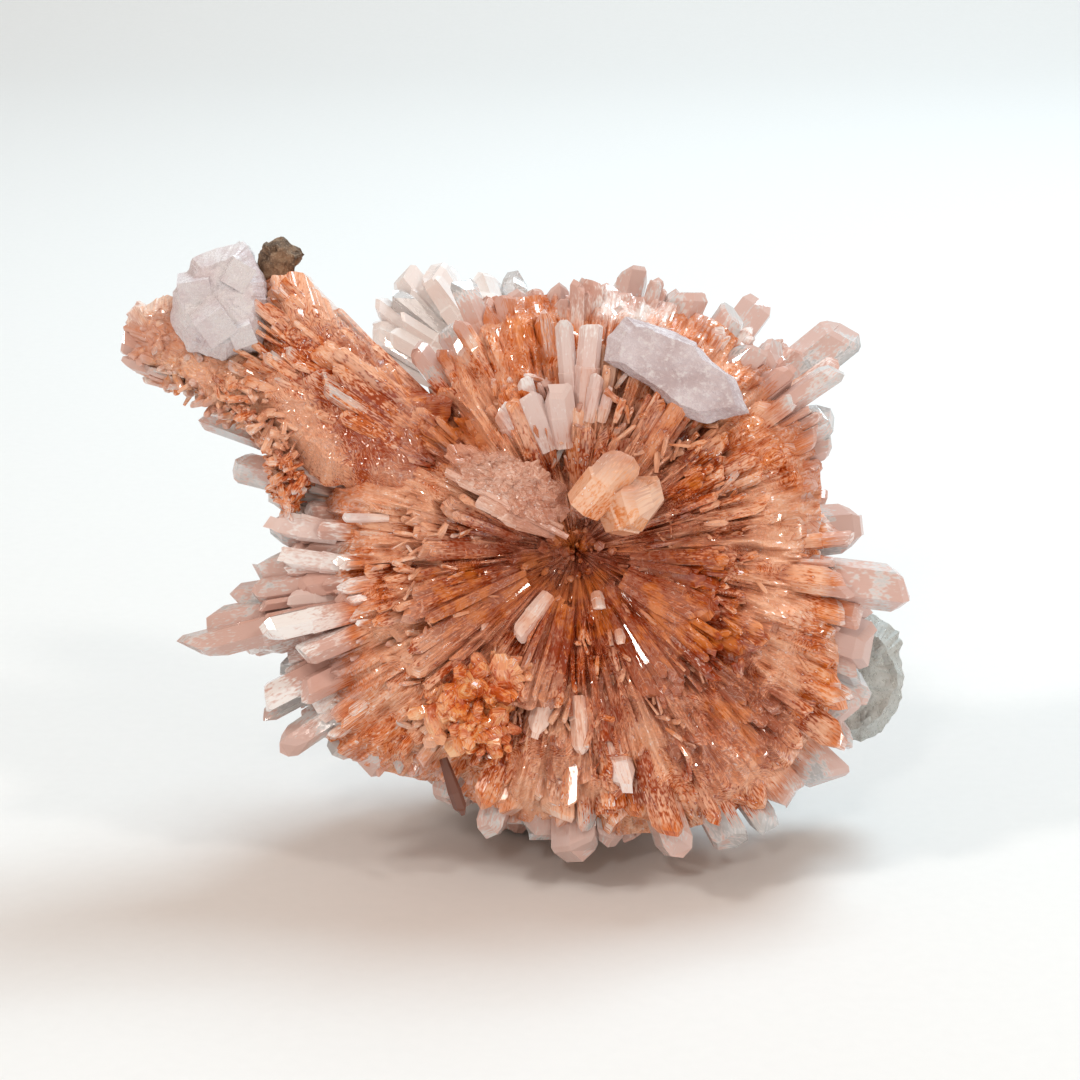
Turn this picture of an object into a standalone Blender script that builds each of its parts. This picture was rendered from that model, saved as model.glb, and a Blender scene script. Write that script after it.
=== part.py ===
"""Creedite with fluorite: a burr of creedite crystals that radiate from one centre, with a long arm,
three fluorite crystals, a grain of dark matrix and a patch of orange crust.

Crystals are given in the burr's own polar frame: an angle around its open face (0 points right,
90 up), a tilt out of that face (90 points at the viewer, -90 into the back) and a length.
Lengths are in millimetres and angles in degrees. The origin is on the floor under the middle.
"""

import math

import bmesh
import bpy
import numpy as np
from mathutils import Vector

# The frame of the burr
MM = 0.001
CENTRE = Vector((4.35, -4.65, 24.6))
LEAN = 17.0
GAP = 0.3
SEED = 7

# How far crystals reach around the rim of the open face, and in front of and behind it
RIM_ANGLES = (0, 30, 60, 90, 112, 130, 150, 180, 200, 220, 240, 270, 300, 330)
RIM_REACH = (19, 21, 21, 20, 20.5, 15.5, 16.5, 22, 24, 24.5, 21, 22, 24, 23.5)
FRONT_REACH = 7.0
BACK_REACH = 23.0
CORE_SHARE = 0.82
ROOT_DEPTH = 3.0
FINE_WIDTH = 3.1

# Shape of one crystal: how flat its section is, how much its tip slants, and where along it, in
# widths from the tip, it starts to narrow. Shares are of the full width. Plain ones have fewer sides.
SIDES = 5
PLAIN_SIDES = 4
FLATNESS = (0.72, 0.95)
SLANT = 0.22
SHOULDER = 1.1
PLAIN_SHOULDER = 0.6
LEAST_SHOULDER = 0.4
BEVEL = 0.26
BEVEL_SHARE = 0.70
TIP_SHARE = 0.30
PLAIN_TIP_SHARE = 0.46
ROOT_SHARE = 0.4
BUNDLE_ROOT_SHARE = 0.85
PARALLEL_LIMIT = 0.3

# Long crystals that draw the outline: angle, tilt, length, width
RIM_CRYSTALS = (
    (128, 2, 19.9, 2.5), (120, -10, 20.5, 2.6), (113, 4, 22.4, 3.0), (104, 0, 20.4, 2.6),
    (94, 2, 20.4, 2.6), (87, 0, 20.8, 2.4), (78, -5, 22.5, 3.0), (73, 0, 21.8, 1.8),
    (66, 0, 21.9, 3.4), (56, 0, 22.2, 2.8), (53, -22, 27.2, 4.0), (38.5, -20, 31.0, 4.4),
    (44, -5, 22.8, 3.0), (34.5, 4, 24.5, 3.2), (28, 0, 22.3, 3.6), (22.5, -2, 21.4, 2.4),
    (13, 3, 18.8, 3.6), (5, -5, 22.4, 4.2), (-7, 4, 25.6, 4.2), (-18.5, -3, 24.3, 4.4),
    (-27, -7, 25.6, 3.4), (-34.5, -9, 26.8, 3.0), (-42.5, -5, 27.2, 5.0), (-49, 2, 25.4, 3.2),
    (-55, 0, 26.2, 3.2), (-61.5, 3, 25.8, 3.8), (-71, 8, 24.8, 5.0), (-76, -2, 22.0, 2.6),
    (-83, 2, 22.8, 3.0), (-90, 3, 23.8, 4.4), (-97, 0, 22.4, 3.4), (-107, 3, 23.0, 3.6),
    (-117.5, 0, 21.8, 3.2), (-128.5, 2, 21.7, 3.6), (-134, 4, 23.2, 3.0), (-139.5, 0, 24.2, 3.6),
    (-146, 3, 27.2, 3.6), (-152, -3, 27.2, 2.6), (-158, 0, 24.5, 3.0), (-165.5, 6, 31.0, 3.8),
    (-171, 0, 26.5, 3.4), (176, 2, 23.4, 3.4), (170, -3, 24.0, 2.6), (166, -8, 27.6, 3.4),
    (160.5, -8, 31.0, 2.6), (-23, -4, 24.4, 3.4), (-31, 1, 24.8, 3.0), (-12.5, -6, 23.6, 3.0),
    (-176, 3, 24.6, 3.0), (-162, -2, 23.6, 3.0), (173, -9, 22.8, 3.4), (48, 4, 21.0, 3.0),
    (40, 2, 21.4, 3.0), (17, -5, 19.6, 3.2),
)

# Short crystals that stand on the open face: angle, tilt, length, width
FACE_CRYSTALS = (
    (-79, 24, 20.2, 2.2), (102, 16, 16.6, 3.4), (93, 20, 17.8, 1.6), (87, 19, 17.4, 1.9),
    (-60, 20, 17.5, 3.2), (-35, 18, 18.5, 3.4), (-15, 20, 16.5, 3.2), (-140, 20, 17.5, 3.4),
    (-165, 20, 17.0, 3.0), (-115, 34, 12.0, 3.0), (-90, 38, 12.5, 3.0), (170, 22, 16.0, 3.0),
    (20, 22, 15.5, 3.0), (70, 40, 9.5, 3.2), (135, 26, 12.4, 3.2), (110, 38, 11.0, 3.0),
    (-45, 42, 11.0, 3.0), (-20, 48, 9.5, 3.0), (-145, 46, 10.0, 3.2), (40, 24, 13.5, 3.0),
    (62, 15, 17.4, 3.4), (50, 16, 16.4, 3.2), (74, 15, 17.6, 3.2), (152, 20, 13.8, 3.4),
    (143, 14, 13.8, 4.0), (134, 8, 14.4, 3.6), (-100, 22, 17.0, 3.2), (-125, 20, 15.4, 3.2),
    (-152, 30, 13.5, 3.0), (180, 34, 11.5, 3.0), (0, 32, 12.5, 3.0), (-72, 36, 13.0, 2.8),
    (-50, 28, 15.0, 3.0), (-28, 32, 13.5, 3.0), (-175, 14, 20.5, 3.0), (-150, 14, 21.0, 3.2),
    (-80, 14, 19.4, 3.0), (-65, 13, 21.0, 3.0), (-46, 12, 21.5, 3.2), (-30, 12, 21.0, 3.0),
    (-12, 13, 20.0, 3.0), (8, 13, 17.5, 3.0), (-133, 13, 18.6, 3.0), (164, 12, 19.5, 3.0),
)

# Crystals on the hidden back follow a spiral over the sphere
BACK_COUNT = 114
BACK_WIDTH = 5.4
BACK_TILT = -9.0
BACK_WANDER = 3.0
BACK_LENGTHS = (0.86, 1.0)

# Crystals that stand on the floor, their ends worn to one flat spot: place on the floor, width
FOOT_CRYSTALS = (
    ((2.2, 1.4), 8.0), ((6.0, 0.8), 7.0), ((3.6, 5.0), 7.2), ((-1.8, 3.0), 6.2),
    ((2.4, -2.2), 6.0), ((7.0, 4.4), 6.0), ((0.0, 6.4), 5.6),
)
FOOT_DEPTH = 3.0
GROUND_HALF = 60.0
GROUND_DEPTH = 30.0

# The arm and the blade group are bundles that start some way out from the centre
ARM_START = 13.2
ARM_CRYSTALS = (
    (141, 0, 26.6, 7.6), (135.4, 0, 30.3, 2.8), (137.2, 3, 31.4, 3.2), (140.5, 5, 30.2, 3.6),
    (144, 3, 29.6, 3.6), (138, -6, 29.6, 3.4), (142.5, -6, 29.0, 3.6), (147.5, 0, 27.6, 3.8),
    (139.5, 12, 25.2, 3.6), (145, 11, 24.6, 3.6), (151, 6, 26.0, 3.6), (149, -9, 25.6, 4.0),
    (141, -14, 22.5, 4.0), (155.4, 2, 25.6, 3.6), (158.0, -3, 25.0, 3.4),
)
BLADE_START = 24.0
BLADE_CRYSTALS = (
    (155.2, 2, 38.2, 3.0), (151.6, 1, 38.6, 2.8), (156.4, 4, 34.6, 2.8), (153.4, 6, 36.2, 3.0),
    (157.0, 0, 31.4, 2.6), (153.6, -4, 34.0, 3.0), (150.2, 4, 33.6, 2.6),
)

# Chamfer around each fluorite, and the share of its outline that its front and back keep
SLAB_CHAMFER = 1.0
ARM_FLUORITE_INSET = 0.72
PLATE_FLUORITE_INSET = 0.88
GREEN_FLUORITE_INSET = 0.7

# Fluorite on the side of the arm: outline (right, up) from the centre, and its depth range
ARM_FLUORITE = (
    (-30.3, 19.4), (-28.6, 21.9), (-26.8, 22.7), (-24.8, 23.2), (-23.9, 20.0), (-23.8, 16.8),
    (-24.2, 14.9), (-26.6, 14.3), (-29.0, 15.0), (-30.3, 17.2),
)
ARM_FLUORITE_DEPTH = (-1.6, 5.6)

# Lilac fluorite plate on the upper right of the face
PLATE_FLUORITE = (
    (2.2, 14.1), (2.3, 15.8), (3.6, 17.4), (6.2, 16.6), (8.8, 15.5), (9.9, 14.2), (11.8, 12.8),
    (12.9, 10.2), (9.6, 9.4), (7.9, 10.1), (5.6, 12.0), (3.3, 13.5),
)
PLATE_FLUORITE_DEPTH = (4.6, 7.6)

# Grey-green fluorite behind the lower right
GREEN_FLUORITE = (
    (20.4, -5.6), (23.6, -5.2), (25.4, -6.4), (26.3, -9.6), (25.6, -12.6), (23.4, -14.8),
    (20.2, -15.4), (17.4, -13.2), (17.0, -8.8),
)
GREEN_FLUORITE_DEPTH = (-12.6, -5.4)

# Pale cluster behind the upper left, as right, up, depth of each tip, and the width
PALE_CLUSTER_ROOT = (-5.0, 11.5, -10.5)
PALE_CLUSTER = (
    (-16.0, 19.8, -12.0, 3.6), (-13.8, 22.2, -12.5, 4.0), (-10.8, 23.0, -13.5, 4.0),
    (-7.4, 22.4, -14.0, 4.0), (-15.6, 17.2, -11.0, 3.4), (-11.5, 20.8, -17.0, 4.4),
    (-5.0, 21.0, -15.0, 3.8),
)

# Dark matrix on the end of the arm
MATRIX_TIP = (
    (-24.0, 22.4, 1.6), (-23.2, 23.5, 0.6), (-21.8, 22.6, 1.2), (-21.2, 21.6, 0.4),
    (-22.9, 20.4, 2.0), (-23.7, 20.9, -1.6), (-22.2, 22.7, -1.4), (-21.4, 21.4, -1.8),
)

# Frosted blades, a cream crystal with a rounded one, and the orange crust, all on the open face
FROSTED_BLADES = (
    ((-1.6, 1.4, 5.4), (-9.9, 7.0, 9.2), 2.6), ((-0.6, 1.6, 6.4), (-7.4, 7.1, 9.8), 2.8),
    ((-0.4, 1.0, 6.2), (-6.6, 4.6, 9.4), 2.4), ((-0.2, 0.6, 6.0), (-3.4, 2.6, 9.0), 2.6),
)
CREAM_CRYSTAL = ((0.6, 3.4, 7.8), (4.3, 7.2, 9.4), 3.6)
ROUND_CRYSTAL = ((3.2, 3.2, 5.6), (5.6, 4.0, 9.0), 4.4)
CRUST_AT = (-7.2, -11.8, 6.0)
CRUST_SIZE = (3.5, 3.4, 1.9)
CRUST_ROUGH = 0.08
CRUST_SEED = 12

# A small block far from everything, which makes the exact solver join overlapping shells
FAR_AWAY = 500.0


def clear_scene():
    """Remove whatever the file holds, so the script starts from nothing."""
    for item in list(bpy.data.objects):
        bpy.data.objects.remove(item, do_unlink=True)


def face_axes():
    """Directions of the open face: right, up along the face, and out towards the viewer."""
    lean = math.radians(LEAN)
    right = Vector((1.0, 0.0, 0.0))
    up = Vector((0.0, math.sin(lean), math.cos(lean)))
    out = Vector((0.0, -math.cos(lean), math.sin(lean)))
    return right, up, out


RIGHT, UP, OUT = face_axes()


def on_face(right, up, out):
    """World point, in millimetres, of a place given in the frame of the open face."""
    return CENTRE + RIGHT * float(right) + UP * float(up) + OUT * float(out)


def direction(angle, tilt):
    """Unit vector of a crystal from its angle around the face and its tilt out of it."""
    around = math.radians(angle)
    lift = math.radians(tilt)
    in_face = math.cos(around) * RIGHT + math.sin(around) * UP
    return math.cos(lift) * in_face + math.sin(lift) * OUT


def reach(angle, tilt):
    """Length of the crystals in a direction: an ellipse through the rim and the front or back."""
    rim = float(np.interp(angle % 360.0, RIM_ANGLES, RIM_REACH, period=360.0))
    depth = FRONT_REACH if tilt > 0 else BACK_REACH
    lift = math.radians(tilt)
    return 1.0 / math.hypot(math.cos(lift) / rim, math.sin(lift) / depth)


def material(name, colour, roughness, alpha=1.0):
    """One Principled finish."""
    finish = bpy.data.materials.new(name)
    finish.use_nodes = True
    shader = finish.node_tree.nodes["Principled BSDF"]
    shader.inputs["Base Color"].default_value = (*colour, 1.0)
    shader.inputs["Roughness"].default_value = roughness
    shader.inputs["Metallic"].default_value = 0.0
    shader.inputs["Alpha"].default_value = alpha
    return finish


def add_object(name, bm, finish=None):
    """Put a bmesh, worked out in millimetres, in the scene as an object in metres."""
    bmesh.ops.scale(bm, vec=(MM, MM, MM), verts=bm.verts)
    bmesh.ops.recalc_face_normals(bm, faces=bm.faces)
    mesh = bpy.data.meshes.new(name)
    bm.to_mesh(mesh)
    bm.free()
    item = bpy.data.objects.new(name, mesh)
    bpy.context.scene.collection.objects.link(item)
    if finish:
        mesh.materials.append(finish)
    return item


def add_hull(bm, points):
    """Add the convex solid around some points as a shell of its own."""
    verts = [bm.verts.new(point) for point in points]
    hull = bmesh.ops.convex_hull(bm, input=verts)
    spare = [v for v in hull["geom_interior"] if isinstance(v, bmesh.types.BMVert)]
    bmesh.ops.delete(bm, geom=spare, context="VERTS")


def add_crystal(bm, base, tip, width, rng, grow=0.0, root=ROOT_SHARE, plain=False):
    """Add one prism: it widens from its root, and ends in a slanted chisel tip."""
    sides = PLAIN_SIDES if plain else SIDES
    axis = (tip - base).normalized()
    base = base - axis * grow
    tip = tip + axis * grow
    length = (tip - base).length
    side = axis.cross(OUT)
    if side.length < PARALLEL_LIMIT:
        side = axis.cross(UP)
    side.normalize()
    other = axis.cross(side)
    flat = rng.uniform(*FLATNESS)
    turn = rng.uniform(0.0, math.pi)
    slant = rng.uniform(-SLANT, SLANT) * width
    wide = width + 2.0 * grow
    narrowing = PLAIN_SHOULDER if plain else SHOULDER
    shoulder = (max(LEAST_SHOULDER, 1.0 - narrowing * width / length), 1.0)
    bevel = (1.0 - BEVEL * width / length, BEVEL_SHARE)
    if plain:
        rings = ((0.0, root), shoulder, (1.0, PLAIN_TIP_SHARE))
    else:
        rings = ((0.0, root), shoulder, bevel, (1.0, TIP_SHARE))
    points = []
    for along, share in rings:
        for step in range(sides):
            around = turn + 2.0 * math.pi * step / sides
            across = 0.5 * wide * share * math.cos(around)
            through = 0.5 * wide * share * flat * math.sin(around)
            lift = slant * across / wide if along > 0.5 else 0.0
            points.append(base + axis * (along * length + lift) + side * across + other * through)
    add_hull(bm, points)


def add_slab(bm, outline, depths, inset, grow=0.0):
    """Add a convex block from an outline on the face and a depth range, with chamfered rims."""
    near, far = depths[1] + grow, depths[0] - grow
    middle = np.mean(np.array(outline), axis=0)
    points = []
    rims = ((far, inset), (far + SLAB_CHAMFER, 1.0), (near - SLAB_CHAMFER, 1.0), (near, inset))
    for depth, share in rims:
        for right, up in outline:
            offset = np.array((right, up)) - middle
            size = float(np.hypot(*offset))
            offset = offset * (share + grow / size)
            points.append(on_face(middle[0] + offset[0], middle[1] + offset[1], depth))
    add_hull(bm, points)


def add_lump(bm, centre, size, rough, rng, grow=0.0, levels=2):
    """Add a rounded lump: a sphere squashed along the face's axes and made uneven."""
    made = bmesh.ops.create_icosphere(bm, subdivisions=levels, radius=1.0)
    for vert in made["verts"]:
        ball = vert.co.copy()
        swell = 1.0 + rough * rng.uniform(-1.0, 1.0)
        sizes = [axis * swell + grow for axis in size]
        offset = RIGHT * (ball.x * sizes[0]) + UP * (ball.y * sizes[1]) + OUT * (ball.z * sizes[2])
        vert.co = centre + offset


def cutter(item):
    """Mark an object as a helper that only shapes others."""
    item.hide_render = True
    item.display_type = "WIRE"
    return item


def boolean(item, other, operation, self_joined=False):
    """Join or cut with the exact solver, and leave the result in the object's mesh."""
    step = item.modifiers.new(operation.title(), "BOOLEAN")
    step.operation = operation
    step.object = other
    step.solver = "EXACT"
    step.use_self = self_joined
    bpy.context.view_layer.update()
    evaluated = item.evaluated_get(bpy.context.evaluated_depsgraph_get())
    mesh = bpy.data.meshes.new_from_object(evaluated)
    item.modifiers.clear()
    item.data = mesh
    return item


def keep_largest_body(item):
    """Drop chips that a cut leaves loose, and keep the body with the most volume."""
    bm = bmesh.new()
    bm.from_mesh(item.data)
    seen = set()
    bodies = []
    for start in bm.verts:
        if start in seen:
            continue
        stack = [start]
        body = set()
        while stack:
            vert = stack.pop()
            if vert in body:
                continue
            body.add(vert)
            stack.extend(edge.other_vert(vert) for edge in vert.link_edges)
        seen |= body
        bodies.append(body)
    bodies.sort(key=body_volume, reverse=True)
    spare = [vert for body in bodies[1:] for vert in body]
    bmesh.ops.delete(bm, geom=spare, context="VERTS")
    bm.to_mesh(item.data)
    bm.free()


def body_volume(body):
    """Volume inside the faces of one body, from the signed tetrahedra to the origin."""
    faces = {face for vert in body for face in vert.link_faces}
    total = 0.0
    for face in faces:
        corners = [vert.co for vert in face.verts]
        for second, third in zip(corners[1:], corners[2:]):
            total += corners[0].dot(second.cross(third)) / 6.0
    return abs(total)


def joined_solid(name, shapes, finish):
    """One closed solid from a bmesh of overlapping shells."""
    item = add_object(name, shapes, finish)
    seed = bmesh.new()
    corner = [Vector((x, y, z)) for x in (0, 1) for y in (0, 1) for z in (0, 1)]
    add_hull(seed, [Vector((FAR_AWAY, FAR_AWAY, FAR_AWAY)) + point for point in corner])
    far_block = cutter(add_object("far_block", seed))
    boolean(item, far_block, "DIFFERENCE", self_joined=True)
    bpy.data.objects.remove(far_block, do_unlink=True)
    keep_largest_body(item)
    return item


def spiral_directions(count):
    """Angles and tilts spread evenly over the whole sphere by the golden angle."""
    golden = math.pi * (3.0 - math.sqrt(5.0))
    for step in range(count):
        height = 1.0 - 2.0 * (step + 0.5) / count
        yield math.degrees(step * golden) % 360.0, math.degrees(math.asin(height))


def burr_shapes(rng):
    """All shells of the burr: the grown-together middle, the rim, the face, the back and foot."""
    bm = bmesh.new()
    made = bmesh.ops.create_icosphere(bm, subdivisions=2, radius=1.0)
    for vert in made["verts"]:
        ball = vert.co.normalized()
        angle = math.degrees(math.atan2(ball.y, ball.x))
        tilt = math.degrees(math.asin(max(-1.0, min(1.0, ball.z))))
        vert.co = CENTRE + direction(angle, tilt) * reach(angle, tilt) * CORE_SHARE
    for crystals in (RIM_CRYSTALS, FACE_CRYSTALS):
        for angle, tilt, length, width in crystals:
            aim = direction(angle, tilt)
            root, tip = CENTRE + aim * ROOT_DEPTH, CENTRE + aim * length
            plain = crystals is FACE_CRYSTALS or width < FINE_WIDTH
            add_crystal(bm, root, tip, width, rng, plain=plain)
    for angle, tilt in spiral_directions(BACK_COUNT):
        if tilt > BACK_TILT:
            continue
        wander = rng.uniform(-BACK_WANDER, BACK_WANDER, 2)
        aim = direction(angle + wander[0], tilt + wander[1])
        length = reach(angle, tilt) * rng.uniform(*BACK_LENGTHS)
        root, tip = CENTRE + aim * ROOT_DEPTH, CENTRE + aim * length
        add_crystal(bm, root, tip, BACK_WIDTH, rng, plain=True)
    for (along_x, along_y), width in FOOT_CRYSTALS:
        below = Vector((along_x, along_y, -FOOT_DEPTH))
        add_crystal(bm, CENTRE, below, width, rng, plain=True)
    return bm


def bundle_shapes(crystals, start, grow, rng):
    """Shells of a bundle whose crystals start some way out from the centre."""
    bm = bmesh.new()
    for angle, tilt, length, width in crystals:
        aim = direction(angle, tilt)
        root, tip = CENTRE + aim * start, CENTRE + aim * length
        add_crystal(bm, root, tip, width, rng, grow, BUNDLE_ROOT_SHARE, plain=True)
    return bm


def pair_shapes(pairs, grow, rng):
    """Shells of crystals given by the places of both their ends on the face."""
    bm = bmesh.new()
    for base, tip, width in pairs:
        add_crystal(bm, on_face(*base), on_face(*tip), width, rng, grow)
    return bm


def cluster_shapes(grow, rng):
    """Shells of the pale cluster, whose crystals share one root."""
    bm = bmesh.new()
    for right, up, out, width in PALE_CLUSTER:
        root, tip = on_face(*PALE_CLUSTER_ROOT), on_face(right, up, out)
        add_crystal(bm, root, tip, width, rng, grow, plain=True)
    return bm


def slab_shapes(outline, depths, inset, grow):
    """Shell of one fluorite crystal."""
    bm = bmesh.new()
    add_slab(bm, outline, depths, inset, grow)
    return bm


def matrix_shapes(grow):
    """Shell of the dark matrix grain."""
    bm = bmesh.new()
    points = [on_face(*point) for point in MATRIX_TIP]
    middle = sum(points, Vector()) / len(points)
    add_hull(bm, [point + (point - middle).normalized() * grow for point in points])
    return bm


def crust_shapes(grow):
    """Shell of the orange crust."""
    bm = bmesh.new()
    add_lump(bm, on_face(*CRUST_AT), CRUST_SIZE, CRUST_ROUGH, np.random.default_rng(CRUST_SEED), grow)
    return bm


def piece_shapes(name, grow):
    """Shells of one smaller piece, grown by a clearance when they serve as a cutter."""
    rng = np.random.default_rng(SEED + len(name))
    makers = {
        "creedite_arm": lambda: bundle_shapes(ARM_CRYSTALS, ARM_START, grow, rng),
        "creedite_blade_group": lambda: bundle_shapes(BLADE_CRYSTALS, BLADE_START, grow, rng),
        "creedite_pale_cluster": lambda: cluster_shapes(grow, rng),
        "creedite_frosted_blades": lambda: pair_shapes(FROSTED_BLADES, grow, rng),
        "creedite_cream_pair": lambda: pair_shapes((CREAM_CRYSTAL, ROUND_CRYSTAL), grow, rng),
        "fluorite_on_arm": lambda: slab_shapes(
            ARM_FLUORITE, ARM_FLUORITE_DEPTH, ARM_FLUORITE_INSET, grow),
        "fluorite_plate": lambda: slab_shapes(
            PLATE_FLUORITE, PLATE_FLUORITE_DEPTH, PLATE_FLUORITE_INSET, grow),
        "fluorite_green": lambda: slab_shapes(
            GREEN_FLUORITE, GREEN_FLUORITE_DEPTH, GREEN_FLUORITE_INSET, grow),
        "matrix_tip": lambda: matrix_shapes(grow),
        "orange_crust": lambda: crust_shapes(grow),
    }
    return makers[name]()


def build():
    """Make the small pieces, then cut each larger piece clear of the ones that sit on it."""
    clear_scene()
    salmon = material("creedite_salmon", (0.54, 0.26, 0.18), 0.35)
    cream = material("creedite_cream", (0.76, 0.50, 0.38), 0.30)
    lilac = material("fluorite_lilac", (0.60, 0.50, 0.50), 0.45, 0.85)
    grey_green = material("fluorite_grey_green", (0.47, 0.47, 0.45), 0.45, 0.85)
    brown = material("matrix_brown", (0.13, 0.09, 0.06), 0.80)
    rust = material("crust_orange", (0.68, 0.27, 0.10), 0.60)

    # Each piece with the pieces that it makes room for
    order = (
        ("fluorite_on_arm", lilac, ()),
        ("fluorite_plate", lilac, ()),
        ("fluorite_green", grey_green, ()),
        ("matrix_tip", brown, ()),
        ("orange_crust", rust, ()),
        ("creedite_cream_pair", cream, ()),
        ("creedite_frosted_blades", cream, ("creedite_cream_pair",)),
        ("creedite_blade_group", cream, ("fluorite_on_arm",)),
        ("creedite_arm", salmon, ("fluorite_on_arm", "matrix_tip", "creedite_blade_group")),
        ("creedite_pale_cluster", cream, ()),
        ("creedite_burr", salmon, (
            "fluorite_plate", "fluorite_green", "orange_crust", "creedite_cream_pair",
            "creedite_frosted_blades", "creedite_arm", "creedite_blade_group",
            "creedite_pale_cluster",
        )),
    )
    for name, finish, neighbours in order:
        if name == "creedite_burr":
            shapes = burr_shapes(np.random.default_rng(SEED))
        else:
            shapes = piece_shapes(name, 0.0)
        item = joined_solid(name, shapes, finish)
        for neighbour in neighbours:
            room = joined_solid("room_for_" + neighbour, piece_shapes(neighbour, GAP), None)
            boolean(item, cutter(room), "DIFFERENCE")
            bpy.data.objects.remove(room, do_unlink=True)
        if name == "creedite_burr":
            floor = bmesh.new()
            half = (-GROUND_HALF, GROUND_HALF)
            corners = [(x, y, z) for x in half for y in half for z in (-GROUND_DEPTH, 0.0)]
            add_hull(floor, [Vector(corner) for corner in corners])
            ground = cutter(add_object("ground", floor))
            boolean(item, ground, "DIFFERENCE")
            bpy.data.objects.remove(ground, do_unlink=True)
        keep_largest_body(item)


build()
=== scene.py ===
"""Creedite with fluorite: the finish of a burr of glassy crystals, of its arm and of what grew on it.

Sizes are in millimetres and angles in degrees until a mesh is written. Places are given in the
frame of the burr's open face: right, up along the face, and out of it towards the viewer.
"""
import math

import bpy
import numpy as np
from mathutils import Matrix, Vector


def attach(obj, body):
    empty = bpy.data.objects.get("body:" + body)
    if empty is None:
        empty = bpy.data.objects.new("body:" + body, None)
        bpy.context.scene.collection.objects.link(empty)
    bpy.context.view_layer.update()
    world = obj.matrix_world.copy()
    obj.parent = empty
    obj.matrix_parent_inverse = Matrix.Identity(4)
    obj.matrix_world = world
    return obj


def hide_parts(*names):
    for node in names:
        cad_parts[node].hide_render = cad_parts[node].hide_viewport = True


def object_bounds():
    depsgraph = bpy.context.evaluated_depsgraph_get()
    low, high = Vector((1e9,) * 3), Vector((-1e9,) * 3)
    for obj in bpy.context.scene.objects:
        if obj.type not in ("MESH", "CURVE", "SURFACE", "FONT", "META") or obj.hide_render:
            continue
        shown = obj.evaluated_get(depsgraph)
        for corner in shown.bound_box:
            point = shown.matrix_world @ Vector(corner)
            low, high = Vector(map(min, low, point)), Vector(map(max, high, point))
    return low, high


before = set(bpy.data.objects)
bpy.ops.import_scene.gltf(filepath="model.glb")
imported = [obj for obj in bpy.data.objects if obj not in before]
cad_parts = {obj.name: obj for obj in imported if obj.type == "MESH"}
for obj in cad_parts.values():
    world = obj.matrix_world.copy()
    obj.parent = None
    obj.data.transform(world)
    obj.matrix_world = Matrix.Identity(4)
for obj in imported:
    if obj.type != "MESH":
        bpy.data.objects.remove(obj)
cad_low, cad_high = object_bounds()

# The setting: the specimen stands on a plain pale board that curves up behind it, under a wide
# soft lamp overhead and a little behind. The camera looks down by 17 degrees, which is also how
# far the open face of the burr leans back from upright.
MM = 0.001
LEAN = math.radians(17.0)
CENTRE = np.array((4.35, -4.65, 24.6))
RIGHT = np.array((1.0, 0.0, 0.0))
UP = np.array((0.0, math.sin(LEAN), math.cos(LEAN)))
OUT = np.array((0.0, -math.cos(LEAN), math.sin(LEAN)))
VIEW_WIDTH = 82.5
LENS = 100.0
SENSOR = 36.0
FRAME_SHIFT = (-2.67, 0.76)
BOARD_HALF = 900.0
BOARD_BACK = 420.0
BOARD_BEND = 260.0


def on_face(right, up, out):
    """World place of points in the frame of the open face: the centre plus each part of its axis."""
    parts = np.broadcast_arrays(np.asarray(right, float), up, out)
    return CENTRE + sum(part[..., None] * axis for part, axis in zip(parts, (RIGHT, UP, OUT)))


def face_parts(points):
    """How far points are to the right, up and out of the open face from the centre."""
    away = points - CENTRE
    return away @ RIGHT, away @ UP, away @ OUT


def new_finish(name, roughness, index=1.45, **sockets):
    """A new Principled material with its own roughness and refractive index."""
    made = bpy.data.materials.new(name)
    made.use_nodes = True
    shader = made.node_tree.nodes["Principled BSDF"]
    shader.inputs["Roughness"].default_value = roughness
    shader.inputs["IOR"].default_value = index
    for socket, value in sockets.items():
        shader.inputs[socket.replace("_", " ")].default_value = value
    return made, made.node_tree, shader


def node(tree, kind, sockets=None, **settings):
    """Add a node to a material, with its settings, and with values or links on its inputs."""
    item = tree.nodes.new(kind)
    for key, value in settings.items():
        setattr(item, key, value)
    for key, value in (sockets or {}).items():
        if isinstance(value, bpy.types.NodeSocket):
            tree.links.new(value, item.inputs[key])
        else:
            item.inputs[key].default_value = value
    return item


def mixed(tree, share, first, second):
    """Colour between two colours or colour sockets, by a share from 0 to 1."""
    first, second = ((*part, 1.0) if isinstance(part, tuple) else part for part in (first, second))
    item = node(tree, "ShaderNodeMix", {0: share, 6: first, 7: second}, data_type="RGBA")
    return item.outputs[2]


def speckle(tree, vector, scale, detail=2.0, roughness=0.5):
    """Soft noise between 0 and 1 on a vector."""
    sockets = {"Vector": vector, "Scale": scale, "Detail": detail, "Roughness": roughness}
    return node(tree, "ShaderNodeTexNoise", sockets).outputs["Fac"]


def write_mesh(name, corners, faces, material, smooth=False):
    """Make an object at the origin from corners in millimetres and lists of equal-sided faces."""
    mesh = bpy.data.meshes.new(name)
    mesh.vertices.add(len(corners))
    mesh.vertices.foreach_set("co", (corners * MM).astype(np.float32).ravel())
    sides = np.concatenate([np.full(len(group), group.shape[1]) for group in faces])
    loops = np.concatenate([group.ravel() for group in faces])
    mesh.loops.add(len(loops))
    mesh.loops.foreach_set("vertex_index", loops.astype(np.int32))
    mesh.polygons.add(len(sides))
    mesh.polygons.foreach_set("loop_start", (np.cumsum(sides) - sides).astype(np.int32))
    mesh.polygons.foreach_set("use_smooth", np.full(len(sides), smooth))
    mesh.materials.append(material)
    mesh.update(calc_edges=True)
    item = bpy.data.objects.new(name, mesh)
    bpy.context.scene.collection.objects.link(item)
    return item


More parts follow.
